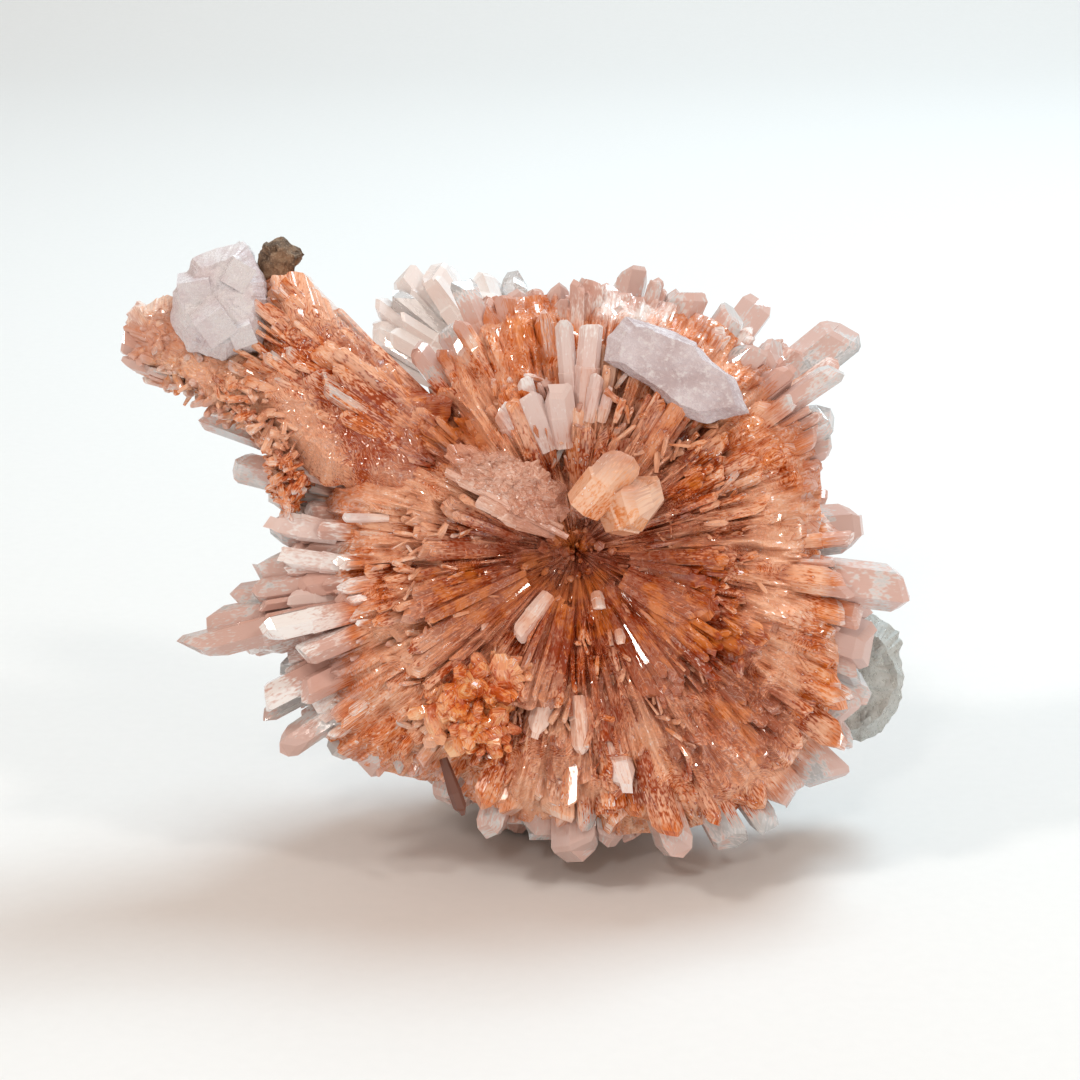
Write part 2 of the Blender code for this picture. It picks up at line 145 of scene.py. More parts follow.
def board_surface(across_steps=9, along_steps=120):
    """Board as a grid: flat to the bend, then a quarter circle up, then a straight rise behind."""
    across = np.linspace(-BOARD_HALF, BOARD_HALF, across_steps)
    along = np.linspace(-BOARD_HALF, BOARD_BACK + 3.0 * BOARD_BEND, along_steps)
    turn = np.clip((along - BOARD_BACK) / BOARD_BEND, 0.0, math.pi / 2)
    past = np.clip(along - BOARD_BACK - BOARD_BEND * math.pi / 2, 0.0, None)
    depth = np.minimum(along, BOARD_BACK) + BOARD_BEND * np.sin(turn)
    height = BOARD_BEND * (1.0 - np.cos(turn)) + past
    grid = np.stack(np.broadcast_arrays(across[None], depth[:, None], height[:, None]), axis=-1)
    rows, columns = grid.shape[:2]
    index = np.arange(rows * columns).reshape(rows, columns)
    quads = np.stack((index[:-1, :-1], index[:-1, 1:], index[1:, 1:], index[1:, :-1]), axis=-1)
    return grid.reshape(-1, 3), [quads.reshape(-1, 4)]


pale_board, tree, shader = new_finish("pale_board", 0.85)
place = node(tree, "ShaderNodeTexCoord").outputs["Object"]
grain = speckle(tree, place, 900.0, 3.0)
board_colour = mixed(tree, grain, (0.82, 0.818, 0.815), (0.85, 0.848, 0.845))
tree.links.new(board_colour, shader.inputs["Base Color"])
board = write_mesh("board", *board_surface(), pale_board, smooth=True)


def lamp(name, size, power, at, towards, colour):
    """Square soft lamp, placed in millimetres and turned to face a point."""
    light = bpy.data.lights.new(name, "AREA")
    light.size = size * MM
    light.energy = power
    light.color = colour
    item = bpy.data.objects.new(name, light)
    item.location = [value * MM for value in at]
    aim = np.array(at, float) - towards
    aim /= np.linalg.norm(aim)
    flat = math.hypot(aim[0], aim[1])
    item.rotation_euler = (math.atan2(flat, aim[2]), 0.0, math.atan2(aim[0], -aim[1]))
    bpy.context.scene.collection.objects.link(item)


COOL = (0.69, 0.90, 1.0)
NEUTRAL = (1.0, 0.93, 0.86)
MIDDLE = (0.0, 0.0, 20.0)
lamp("overhead_lamp", 240.0, 2.05, (200.0, 220.0, 480.0), (0.0, 0.0, 0.0), COOL)
lamp("window_left", 70.0, 0.62, (-330.0, -180.0, 420.0), MIDDLE, NEUTRAL)
lamp("window_right", 60.0, 0.42, (300.0, -260.0, 380.0), MIDDLE, NEUTRAL)
lamp("window_front", 50.0, 0.40, (-90.0, -470.0, 330.0), MIDDLE, NEUTRAL)
lamp("window_low", 40.0, 0.16, (260.0, -420.0, 120.0), MIDDLE, NEUTRAL)
lamp("window_back", 120.0, 0.6, (140.0, 260.0, 460.0), (0.0, 620.0, 120.0), COOL)

world = bpy.data.worlds.new("studio")
bpy.context.scene.world = world
world.use_nodes = True
sky = world.node_tree.nodes["Background"].inputs
sky["Color"].default_value = (1.0, 0.80, 0.67, 1.0)
sky["Strength"].default_value = 0.44

camera_data = bpy.data.cameras.new("camera")
camera_data.lens = LENS
camera_data.sensor_width = SENSOR
camera_data.clip_start = 0.01
camera = bpy.data.objects.new("camera", camera_data)
bpy.context.scene.collection.objects.link(camera)
aim_point = on_face(*FRAME_SHIFT, 0.0)
camera.location = (aim_point + OUT * VIEW_WIDTH * LENS / SENSOR) * MM
camera.rotation_euler = (math.pi / 2 - LEAN, 0.0, 0.0)
bpy.context.scene.camera = camera
bpy.context.scene.view_settings.view_transform = "Standard"
path = bpy.context.scene.cycles
path.max_bounces, path.transmission_bounces = 4, 4
path.diffuse_bounces, path.glossy_bounces = 2, 2

# The grown-together middle of the burr: the roots of all crystals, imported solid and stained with
# iron. It shows only as the deep rust between crystals. It is a closed shell whose distance from
# the centre follows how far the crystals reach, with its open face sunk like a dish.
RIM_ANGLES = (0, 30, 60, 90, 112, 130, 150, 180, 200, 220, 240, 270, 300, 330)
RIM_REACH = (19, 21, 21, 20, 20.5, 15.5, 16.5, 22, 24, 24.5, 21, 22, 24, 23.5)
FRONT_REACH = 7.0
BACK_REACH = 23.0
MIDDLE_SHARE = 0.7
DISH_RIM = 0.42
DISH_FLOOR = 1.2
DISH_LIFT = 3.2


def direction(angle, tilt):
    """Unit vectors from the angle around the open face and the tilt out of it."""
    around, lift = np.radians(angle), np.radians(tilt)
    level = np.cos(lift)
    parts = (np.cos(around) * level, np.sin(around) * level, np.sin(lift))
    return sum(part[..., None] * axis for part, axis in zip(parts, (RIGHT, UP, OUT)))


def rim_reach(angle):
    """How far the burr's outline is from the centre, between measured angles."""
    return np.interp(np.mod(angle, 360.0), RIM_ANGLES, RIM_REACH, period=360.0)


def reach(angle, tilt):
    """Crystal length in each direction: an ellipse through the rim and the front or back reach."""
    depth = np.where(np.asarray(tilt) > 0, FRONT_REACH, BACK_REACH)
    lift = np.radians(tilt)
    return 1.0 / np.hypot(np.cos(lift) / rim_reach(angle), np.sin(lift) / depth)


def closed_skin(grid):
    """Corners and faces of a skin: loops of points from pole to pole, with a fan on each pole."""
    rows, steps = grid.shape[:2]
    corners = np.concatenate((grid[1:-1].reshape(-1, 3), grid[[0, -1]].mean(axis=1)))
    index = np.arange((rows - 2) * steps).reshape(rows - 2, steps)
    ahead = np.roll(index, -1, axis=1)
    quads = np.stack((index[:-1], ahead[:-1], ahead[1:], index[1:]), axis=-1).reshape(-1, 4)
    poles = len(corners) - 2 + np.array(((0,), (1,))) + np.zeros(steps, int)
    start = np.stack((poles[0], ahead[0], index[0]), axis=-1)
    end = np.stack((poles[1], index[-1], ahead[-1]), axis=-1)
    return corners, [quads, np.concatenate((start, end))]


def middle_shell(rings=36, steps=72):
    """Points of the middle: the reach times a share, cut off in front by a dish with a raised rim.

    The dish rises from its floor at the centre to its lip, and falls again to the outline."""
    tilt = np.linspace(-90.0, 90.0, rings)[:, None]
    angle = np.linspace(0.0, 360.0, steps, endpoint=False)[None, :]
    tilt, angle = np.broadcast_arrays(tilt, angle)
    away = direction(angle, tilt) * (reach(angle, tilt) * MIDDLE_SHARE)[..., None]
    right, up, out = away @ RIGHT, away @ UP, away @ OUT
    spread = np.hypot(right, up) / rim_reach(angle)
    dish = DISH_LIFT * np.sin(np.clip(spread / DISH_RIM, 0.0, 2.0) * math.pi / 2) - DISH_FLOOR
    out = np.where(out > 0, np.minimum(out, dish), out)
    return closed_skin(on_face(right, up, out))


def worked(tree, operation, first, second=0.0):
    """Result of one sum on numbers or number sockets."""
    return node(tree, "ShaderNodeMath", {0: first, 1: second}, operation=operation).outputs[0]


def stepped(tree, value, low, high, to_low=0.0, to_high=1.0):
    """Number that climbs from one value to another while the input goes from low to high."""
    sockets = {"Value": value, 1: low, 2: high, 3: to_low, 4: to_high}
    return node(tree, "ShaderNodeMapRange", sockets, interpolation_type="SMOOTHSTEP").outputs[0]


middle_rust, tree, shader = new_finish("middle_rust", 0.5)
place = node(tree, "ShaderNodeTexCoord").outputs["Object"]
patch = stepped(tree, speckle(tree, place, 420.0, 5.0, 0.65), 0.35, 0.7)
rust_colour = mixed(tree, patch, (0.72, 0.20, 0.04), (0.92, 0.46, 0.24))
tree.links.new(rust_colour, shader.inputs["Base Color"])
knobs = speckle(tree, place, 1500.0, 4.0, 0.7)
bump = node(tree, "ShaderNodeBump", {"Strength": 0.8, "Distance": 0.0006, "Height": knobs})
tree.links.new(bump.outputs[0], shader.inputs["Normal"])
middle = write_mesh("burr_middle", *middle_shell(), middle_rust)
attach(middle, "root")
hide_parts("creedite_burr")

# The long crystals of the burr: glassy prisms with slanted chisel tips, salmon from fine iron
# veils inside and clearer towards the tip. They radiate from the centre, and the ones listed here
# (angle, tilt, length, width) draw the outline. Others grew against their sides, in sheaves.
RIM_CRYSTALS = (
    (128, 2, 19.9, 2.5), (120, -10, 20.5, 2.6), (113, 4, 22.4, 3.0), (104, 0, 20.4, 2.6),
    (94, 2, 20.4, 2.6), (87, 0, 20.8, 2.4), (78, -5, 22.5, 3.0), (73, 0, 21.8, 1.8),
    (66, 0, 21.9, 3.4), (56, 0, 22.2, 2.8), (53, -22, 27.2, 4.0), (38.5, -20, 31.0, 4.4),
    (44, -5, 22.8, 3.0), (34.5, 4, 24.5, 3.2), (28, 0, 22.3, 3.6), (22.5, -2, 21.4, 2.4),
    (13, 3, 18.8, 3.6), (5, -5, 22.4, 4.2), (-7, 4, 25.6, 4.2), (-18.5, -3, 24.3, 4.4),
    (-27, -7, 25.6, 3.4), (-34.5, -9, 26.8, 3.0), (-42.5, -5, 27.2, 5.0), (-49, 2, 25.4, 3.2),
    (-55, 0, 26.2, 3.2), (-61.5, 3, 25.8, 3.8), (-71, 8, 24.8, 5.0), (-76, -2, 22.0, 2.6),
    (-83, 2, 22.8, 3.0), (-90, 3, 23.8, 4.4), (-97, 0, 22.4, 3.4), (-107, 3, 23.0, 3.6),
    (-117.5, 0, 21.8, 3.2), (-128.5, 2, 21.7, 3.6), (-134, 4, 23.2, 3.0), (-139.5, 0, 24.2, 3.6),
    (-146, 3, 27.2, 3.6), (-152, -3, 27.2, 2.6), (-158, 0, 24.5, 3.0), (-165.5, 6, 31.0, 4.4),
    (-168.5, 3, 28.6, 3.0), (-171, 0, 26.5, 3.4), (176, 2, 23.4, 3.4), (170, -3, 24.0, 2.6),
    (166, -8, 27.6, 3.4), (160.5, -8, 31.0, 2.6), (-23, -4, 24.4, 3.4), (-31, 1, 24.8, 3.0),
    (-12.5, -6, 23.6, 3.0), (-176, 3, 24.6, 3.0), (-162, -2, 23.6, 3.0), (173, -9, 22.8, 3.4),
    (48, 4, 21.0, 3.0), (40, 2, 21.4, 3.0), (17, -5, 19.6, 3.2),
)
RIM_START = 12.0
RIM_FELLOWS = 8
HEARTS = 4
# How a sheaf grows: spread of direction, and ranges of length, width and distance to the side.
RIM_HABIT = (0.04, (0.5, 0.97), (0.3, 0.85), (0.3, 1.0))
HEART_HABIT = (0.01, (0.9, 1.0), (0.15, 0.35), (0.05, 0.28))
HEART_ENDS = (0.62, 0.86)
OUTLINE_SHARES = (0.9, 1.02)
FOLLOWING = 0.4
PALING = 0.36
SIDES = 6
RINGS = 5
BEVELS = (0.12, 0.3)
CHISEL, SLANT, POINT = range(3)
TIP_CHANCES = (0.5, 0.42, 0.08)


def unit(vectors):
    """Vectors at a length of one."""
    return vectors / np.linalg.norm(vectors, axis=-1, keepdims=True)


def tip_heights(outline, rng):
    """Heights of a tip over its outline and over the two ends of its ridge, in half widths.

    A ridge crosses the prism. Two facets fall from it to the sides and two from its ends. A
    slanted tip has both side facets in one plane, and a pointed one has a very short ridge."""
    count = len(outline)
    kind = rng.choice(3, count, p=TIP_CHANCES)[:, None]
    first = rng.uniform(0.25, 0.95, (count, 1))
    second = np.where(kind == SLANT, -first * 0.7, first * rng.uniform(0.6, 1.2, (count, 1)))
    first = np.where(kind == SLANT, first * 0.7, first)
    half = np.where(kind == POINT, 0.08, rng.uniform(0.25, 0.6, (count, 1)))
    lean = rng.uniform(-0.45, 0.45, (count, 1))
    x, y = outline[..., 0], outline[..., 1]
    side = lean * x - np.where(y > 0, first * y, -second * y)
    ridge = np.concatenate((lean * half, -lean * half), axis=1)

    def end_facet(at_x, at_height, corner, low, high):
        """Height over one outline corner of the plane through a ridge end and two other corners."""
        step_x = np.stack((x[:, low] - at_x, x[:, high] - at_x), axis=1)
        step_y = np.stack((y[:, low], y[:, high]), axis=1)
        rise = np.stack((side[:, low] - at_height, side[:, high] - at_height), axis=1)
        size = step_x[:, 0] * step_y[:, 1] - step_x[:, 1] * step_y[:, 0]
        grade_x = (rise[:, 0] * step_y[:, 1] - rise[:, 1] * step_y[:, 0]) / size
        grade_y = (step_x[:, 0] * rise[:, 1] - step_x[:, 1] * rise[:, 0]) / size
        return at_height + grade_x * (x[:, corner] - at_x) + grade_y * y[:, corner]

    heights = side.copy()
    low = side.min(axis=1) - 0.4
    heights[:, 0] = np.clip(end_facet(half[:, 0], ridge[:, 0], 0, 1, 5), low, ridge[:, 0])
    heights[:, 3] = np.clip(end_facet(-half[:, 0], ridge[:, 1], 3, 2, 4), low, ridge[:, 1])
    top = np.maximum(heights.max(axis=1), ridge.max(axis=1))[:, None]
    return np.clip(heights - top, -2.6, 0.0), ridge - top, half[:, 0]


def prisms(root, tip, width, rng, root_share=0.6, flat=(0.6, 0.95), turned=True):
    """Corners of many prisms, and how far along its crystal each corner is.

    An uneven hexagon is carried along the line from root to tip, widening from the root. Part of
    the way along it steps in a little. It ends in a bevel, and in the four facets of its tip."""
    count = len(root)
    run = tip - root
    length = np.linalg.norm(run, axis=1)[:, None]
    axis = run / length
    across = np.cross(axis, OUT)
    across = np.where(np.linalg.norm(across, axis=1, keepdims=True) < 0.2, np.cross(axis, UP), across)
    across = unit(across)
    through = np.cross(axis, across)
    turn = rng.uniform(0.0, 2.0 * math.pi, (count, 1)) * turned
    new_across = across * np.cos(turn) + through * np.sin(turn)
    through, across = through * np.cos(turn) - across * np.sin(turn), new_across
    around = 2.0 * math.pi * (np.arange(SIDES) + rng.uniform(-0.13, 0.13, (count, SIDES))) / SIDES
    bulge = rng.uniform(0.88, 1.06, (count, SIDES))
    thin = rng.uniform(*flat, (count, 1))
    outline = np.stack((bulge * np.cos(around), bulge * np.sin(around)), axis=-1)
    heights, ridge, half = tip_heights(outline, rng)
    radius = 0.5 * width[:, None]
    inset = rng.uniform(0.88, 1.0, (count, 1))
    bevel = rng.uniform(*BEVELS, (count, 1))
    middle = rng.uniform(0.35, 0.8, (count, 1)) * length
    shoulder = length + radius * (heights - bevel)
    edge = length + radius * heights * (1.0 - bevel)
    middle = np.minimum(middle, shoulder.min(axis=1, keepdims=True) * 0.8)
    step = np.minimum(middle + 0.12 * radius, shoulder.min(axis=1, keepdims=True) * 0.9)
    same = np.ones((1, SIDES))
    low_rings = (0.0 * same * middle, middle * same, step * same)
    along = np.stack((*low_rings, np.maximum(shoulder, step), np.maximum(edge, step)), axis=1)
    whole = np.ones((count, 1))
    shares = np.stack((root_share * whole, whole, inset, inset, inset * (1.0 - bevel)), axis=1)
    wander = rng.uniform(0.985, 1.015, (count, RINGS, SIDES))
    x = shares * wander * radius[:, None] * outline[:, None, :, 0]
    y = shares * wander * (radius * thin)[:, None] * outline[:, None, :, 1]
    ridge_x = np.stack((half, -half), axis=1) * inset * radius
    x = np.concatenate((x.reshape(count, -1), ridge_x), axis=1)
    y = np.concatenate((y.reshape(count, -1), 0.0 * ridge_x), axis=1)
    along = np.concatenate((along.reshape(count, -1), length + ridge * radius), axis=1)
    corners = root[:, None] + along[..., None] * axis[:, None]
    corners += x[..., None] * across[:, None] + y[..., None] * through[:, None]
    return corners, along, width


# Rust spots, and places painted paler or darker than the rest, partly their own colour and partly
# painted light and shade that lifts spots nearby crystals shade: right, up, radius, strength.
RUST_SPOTS = (
    (19.0, -9.4, 2.2, 1.3), (11.6, -11.8, 1.6, 1.3), (5.6, -13.8, 2.0, 1.2), (-8.6, 8.8, 2.8, 2.0),
    (-4.0, 15.0, 3.0, 0.9), (-14.2, 12.2, 2.4, 1.3), (7.6, 9.0, 3.6, 1.3), (-1.0, -2.0, 4.0, 1.6),
    (11.0, -4.0, 5.5, 1.3), (-9.5, -4.0, 3.6, 1.2), (-3.0, 16.0, 2.4, 0.8), (17.0, 3.0, 2.5, 0.8),
)
TONE_AND_PAINTED_LIGHT_REGIONS = (
    (13.2, -15.0, 6.0, -1.0), (14.9, 5.3, 3.0, 0.1), (10.0, -4.0, 7.0, -0.44), (-21.5, -7.4, 4.5, 0.9),
    (-3.1, 15.7, 2.5, 0.15), (-9.5, -4.0, 4.5, -0.42), (-2.7, 10.2, 3.6, 0.5), (-28.0, -7.2, 5.0, 0.6),
    (26.5, -1.0, 3.5, 0.5), (21.5, 16.0, 4.0, 0.4), (-20.5, -0.8, 4.0, 0.85), (4.2, 20.0, 4.0, 0.75),
    (-1.0, -2.0, 5.0, -0.46), (-8.4, 8.8, 3.0, -0.7), (7.6, 9.4, 3.0, -0.5), (18.0, -18.0, 4.0, 0.25),
    (-1.0, -15.5, 5.0, -0.5), (-13.0, 9.0, 5.0, -0.26), (-16.0, 14.0, 6.0, -0.34), (16.5, 13.5, 4.0, 0.15),
    (5.7, -9.9, 4.0, -0.15),
)
# Spots and shading count for places at least this far out of the face. A crystal clears from a
# value of its heart on, and the paling starts at a share of the outline.
SPOTS_FROM = -2.0
SHADING_FROM = -4.0
CLEAR_FROM = 0.64
CLEAR_RISE = 0.30
CLEARNESS = (0.3, 0.6)
OUTER_FROM = 0.84
OUTER_RISE = 0.18
PALING_BALANCE = 0.4


def set_traits(item, traits, painted_reflection):
    """Give an object numbers for each of its corners, and for each of its sides a random brightness that is
    painted reflection.
    """
    for key, values in traits.items():
        trait = item.data.attributes.new(key, "FLOAT", "POINT")
        trait.data.foreach_set("value", values.astype(np.float32).ravel())
    trait = item.data.attributes.new("painted_reflection", "FLOAT", "FACE")
    trait.data.foreach_set("value", painted_reflection.astype(np.float32))


def set_facet_map(item, places):
    """Give a mesh the map that its streaks follow: millimetres around the crystal and along it."""
    item.data.uv_layers.new(name="facet").data.foreach_set("uv", places.astype(np.float32).ravel())


def region_sum(regions, right, up):
    """Sum of soft round regions on the open face: right, up, radius and strength of each."""
    total = 0.0 * right
    for region_right, region_up, radius, strength in regions:
        total += strength * np.exp(-((right - region_right) ** 2 + (up - region_up) ** 2) / radius**2)
    return total


def outline_at(right, up):
    """How far the burr's outline is from the centre, in the direction of places on the face."""
    return rim_reach(np.degrees(np.arctan2(up, right)))


def crystal_object(name, groups, material, rng, clear_chance, hearts=None, paling=0.0):
    """One object from groups of prisms, with a facet map and with traits that colour them.

    The trait depth is 0 in the rusty heart and about 1 at the outer ends: a share of the reach in
    that direction, or a climb along the crystal between two values. Paling raises it near the
    outline and lowers it inside, and paler and darker regions, partly painted light and shade, move
    it. The trait clear says how far a place is clear, edge is 1 where the tip begins, facet is the
    width of a side, stain is high near rust spots, and tone is random for each crystal. Each side
    gets a random brightness that is painted reflection."""
    corners = np.concatenate([group[0] for group in groups])
    along = np.concatenate([group[1] for group in groups])
    width = np.concatenate([group[2] for group in groups])[:, None]
    count, each = along.shape
    flat_corners = np.clip(corners.reshape(-1, 3), np.array(cad_low) / MM, np.array(cad_high) / MM)
    ring, side = np.meshgrid(np.arange(RINGS - 1), np.arange(SIDES), indexing="ij")
    ahead = (side + 1) % SIDES
    near, far = ring * SIDES, (ring + 1) * SIDES
    wall = np.stack((near + side, near + ahead, far + ahead, far + side), axis=-1).reshape(-1, 4)
    last = (RINGS - 1) * SIDES
    tip_facets = last + np.array(((5, 0, 1, 6), (1, 2, 7, 6), (2, 3, 4, 7), (4, 5, 6, 7)))
    caps = np.concatenate((tip_facets, ((3, 2, 1, 0), (5, 4, 3, 0))))
    pattern = np.concatenate((wall, caps))
    faces = (np.arange(count)[:, None, None] * each + pattern[None]).reshape(-1, 4)
    item = write_mesh(name, flat_corners, [faces], material)
    cap_u = SIDES + np.arange(len(caps))[:, None] + np.array((0.0, 1.0, 1.0, 0.0))
    u = np.concatenate((np.stack((side, side + 1, side + 1, side), axis=-1).reshape(-1, 4), cap_u))
    set_facet_map(item, np.stack(np.broadcast_arrays(u * 0.5 * width[..., None], along[:, pattern]), axis=-1))
    right, up, out = (part.reshape(count, each) for part in face_parts(flat_corners))
    if hearts is None:
        span = np.linalg.norm(flat_corners - CENTRE, axis=1).reshape(count, each)
        lift = np.degrees(np.arcsin(np.clip(out / span, -1.0, 0.0)))
        heart = span / reach(np.degrees(np.arctan2(up, right)), lift)
    else:
        heart = hearts[0] + (hearts[1] - hearts[0]) * along / along.max(axis=1, keepdims=True)
    rising = np.clip((heart - CLEAR_FROM) / CLEAR_RISE, 0.0, 1.0)
    outer = np.clip((np.hypot(right, up) / outline_at(right, up) - OUTER_FROM) / OUTER_RISE, 0.0, 1.0)
    heart = heart + paling * (outer - PALING_BALANCE)
    tone = rng.uniform(0.0, 1.0, (count, 1)) + np.zeros(each)
    is_clear = rng.uniform(0.0, 1.0, (count, 1)) < clear_chance
    clearness = np.where(is_clear, rng.uniform(*CLEARNESS, (count, 1)), 0.0)
    edge = np.zeros((count, each))
    edge[:, last - SIDES : last + SIDES] = 1.0
    traits = {
        "tone": tone,
        "depth": heart + region_sum(TONE_AND_PAINTED_LIGHT_REGIONS, right, up) * (out > SHADING_FROM),
        "clear": clearness * rising * rising * (3.0 - 2.0 * rising),
        "edge": edge,
        "facet": 0.5 * width + 0.0 * tone,
        "stain": region_sum(RUST_SPOTS, right, up) * (out > SPOTS_FROM),
    }
    set_traits(item, traits, rng.normal(0.0, 1.0, len(faces)).clip(-2.0, 2.0))
    return item


def ramp(tree, value, stops):
    """Colour from a list of places between 0 and 1 and their colours."""
    item = node(tree, "ShaderNodeValToRGB", {0: value})
    for index, (place_at, colour) in enumerate(stops):
        stop = item.color_ramp.elements[index] if index < 2 else item.color_ramp.elements.new(place_at)
        stop.position = place_at
        stop.color = (*colour, 1.0)
    return item.outputs[0]


RUST = (0.50, 0.09, 0.02)
GLASSY = (0.02, 0.11)


def creedite_finish(name, stops, spot_share=1.0, line_share=0.4, rough=GLASSY, clear_share=1.0, grain=1.0):
    """Creedite: rust in the depths, salmon veils along the crystal, and pale or clear at the tip.

    The colour climbs from rust to pale with the trait depth, moved by wide patches, by streaks
    along the crystal, by fine grains, by the tone of each crystal and by a random brightness of
    each side that is painted reflection. Deep streaks are dark lines and high ones are pale. Thin
    curling cracks are white and specks are red-brown. Edges carry painted lines, pale highlights
    further in and red-brown towards the outer ends in place of dark refraction outlines, and small
    white spots are painted highlights. Places with rust or cracks aren't clear, and the clear ones
    are white."""
    made, tree, shader = new_finish(name, 0.12, 1.46, Specular_IOR_Level=0.85)

    def sum_of(first, second):
        """The first number plus the second."""
        return worked(tree, "ADD", first, second)

    def less(first, second):
        """The first number less the second."""
        return worked(tree, "SUBTRACT", first, second)

    def times(first, second):
        """The first number times the second."""
        return worked(tree, "MULTIPLY", first, second)

    def most(first, second):
        """The larger of two numbers."""
        return worked(tree, "MAXIMUM", first, second)

    def scaled(vector, by, operation="MULTIPLY"):
        """A vector with each part multiplied, or added to."""
        return node(tree, "ShaderNodeVectorMath", {0: vector, 1: by}, operation=operation).outputs[0]

    place = node(tree, "ShaderNodeTexCoord").outputs["Object"]
    strip = node(tree, "ShaderNodeUVMap", uv_map="facet").outputs[0]
    names = ("tone", "depth", "clear", "edge", "facet", "stain", "painted_reflection")
    traits = [node(tree, "ShaderNodeAttribute", attribute_name=key).outputs["Fac"] for key in names]
    tone, depth, clear, edge, facet, stain, painted_reflection = traits
    shift = node(tree, "ShaderNodeCombineXYZ", {2: times(tone, 90.0)}).outputs[0]
    streak_at = scaled(scaled(strip, (7.0, 0.6, 1.0)), shift, "ADD")
    streak = less(speckle(tree, streak_at, 1.0, 2.0, 0.75), 0.5)
    veil = less(speckle(tree, place, 190.0, 2.0, 0.6), 0.5)
    fine = less(speckle(tree, scaled(streak_at, (0.62, 3.4, 1.0)), 1.0, 1.0, 0.6), 0.5)
    fine = times(fine, stepped(tree, depth, 0.6, 1.0, 1.0, 0.6))
    curls = {"Vector": place, "Scale": 850.0, "Detail": 1.0, "Distortion": 1.6}
    crack = worked(tree, "ABSOLUTE", less(node(tree, "ShaderNodeTexNoise", curls).outputs["Fac"], 0.5))
    # Painted highlight spots and painted edge lines fade towards the rusty depths.
    lit = stepped(tree, depth, 0.0, 0.5, 0.3, 1.0)
    shade = depth
    own = less(tone, 0.5)
    # The random brightness of each side is painted reflection.
    for part, amount in ((veil, 0.75), (streak, 1.6 * grain), (fine, 1.1), (own, 0.36), (painted_reflection, 0.14)):
        shade = sum_of(shade, times(part, amount))
    colour = ramp(tree, times(shade, 0.8), stops)
    deep = tuple(0.5 * (part + other) for part, other in zip(stops[0][1], RUST))
    dark_line = stepped(tree, streak, -0.15, -0.06, 0.75 * grain, 0.0)
    dark_line = times(dark_line, stepped(tree, shade, 0.45, 0.95, 1.0, 0.3))
    colour = mixed(tree, dark_line, colour, deep)
    pale_line = stepped(tree, sum_of(streak, times(fine, 0.4)), 0.10, 0.2, 0.0, 0.55 * grain)
    pale_line = times(pale_line, stepped(tree, shade, 0.1, 0.65, 0.2, 1.0))
    colour = mixed(tree, pale_line, colour, (0.99, 0.82, 0.72))
    line = times(stepped(tree, crack, 0.0, 0.03, line_share, 0.0), stepped(tree, veil, -0.1, 0.15))
    colour = mixed(tree, line, colour, (0.95, 0.80, 0.72))
    spots = sum_of(speckle(tree, place, 420.0, 2.0, 0.7), times(stain, 0.17))
    spot = stepped(tree, sum_of(spots, times(streak, 0.5)), 0.60, 0.80, 0.0, 0.75 * spot_share)
    colour = mixed(tree, spot, colour, (0.78, 0.22, 0.03))
    speck = stepped(tree, sum_of(fine, times(streak, 0.6)), 0.22, 0.34, 0.0, 0.5 * spot_share)
    colour = mixed(tree, speck, colour, (0.42, 0.10, 0.03))
    colour = mixed(tree, stepped(tree, depth, 0.9, 1.25, 0.0, 0.75), colour, (0.99, 0.98, 0.98))
    # Edges get painted lines: pale highlights further in, and red-brown lines towards the outer ends that
    # stand in for the dark outlines which refraction draws on clear tips.
    across = node(tree, "ShaderNodeSeparateXYZ", {0: strip}).outputs[0]
    share = worked(tree, "FRACT", worked(tree, "DIVIDE", across, facet))
    to_edge = times(less(0.5, worked(tree, "ABSOLUTE", less(share, 0.5))), facet)
    outline = most(stepped(tree, to_edge, 0.07, 0.16, 1.0, 0.0), stepped(tree, edge, 0.93, 0.98))
    broken = stepped(tree, sum_of(fine, times(veil, 1.5)), -0.2, 0.05, 0.0, 0.85 * spot_share)
    outline = times(times(outline, broken), lit)
    painted_edge_colour = mixed(tree, stepped(tree, depth, 0.7, 0.9), (0.96, 0.60, 0.42), (0.56, 0.15, 0.05))
    colour = mixed(tree, times(outline, 0.75), colour, painted_edge_colour)
    # Small white spots are painted highlights.
    painted_highlight_spot = times(stepped(tree, less(fine, times(painted_reflection, 0.035)), -0.24, -0.17, 0.8, 0.0), lit)
    colour = mixed(tree, painted_highlight_spot, colour, (1.0, 0.93, 0.90))
    blocked = most(most(spot, speck), most(outline, line))
    clearing = times(times(clear, stepped(tree, shade, 0.35, 0.8, 0.0, clear_share)), less(1.0, blocked))
    colour = mixed(tree, worked(tree, "MINIMUM", times(clearing, 2.4), 1.0), colour, (0.97, 0.97, 0.98))
    tree.links.new(colour, shader.inputs["Base Color"])
    tree.links.new(clearing, shader.inputs["Transmission Weight"])
    tree.links.new(stepped(tree, fine, -0.1, 0.15, *rough), shader.inputs["Roughness"])
    return made


def from_centre(angle, tilt, length, start):
    """Roots and tips of crystals that radiate from the centre: aim times start, and times length."""
    aim = direction(np.asarray(angle, float), np.asarray(tilt, float))
    return CENTRE + aim * start, CENTRE + aim * np.asarray(length, float)[:, None]


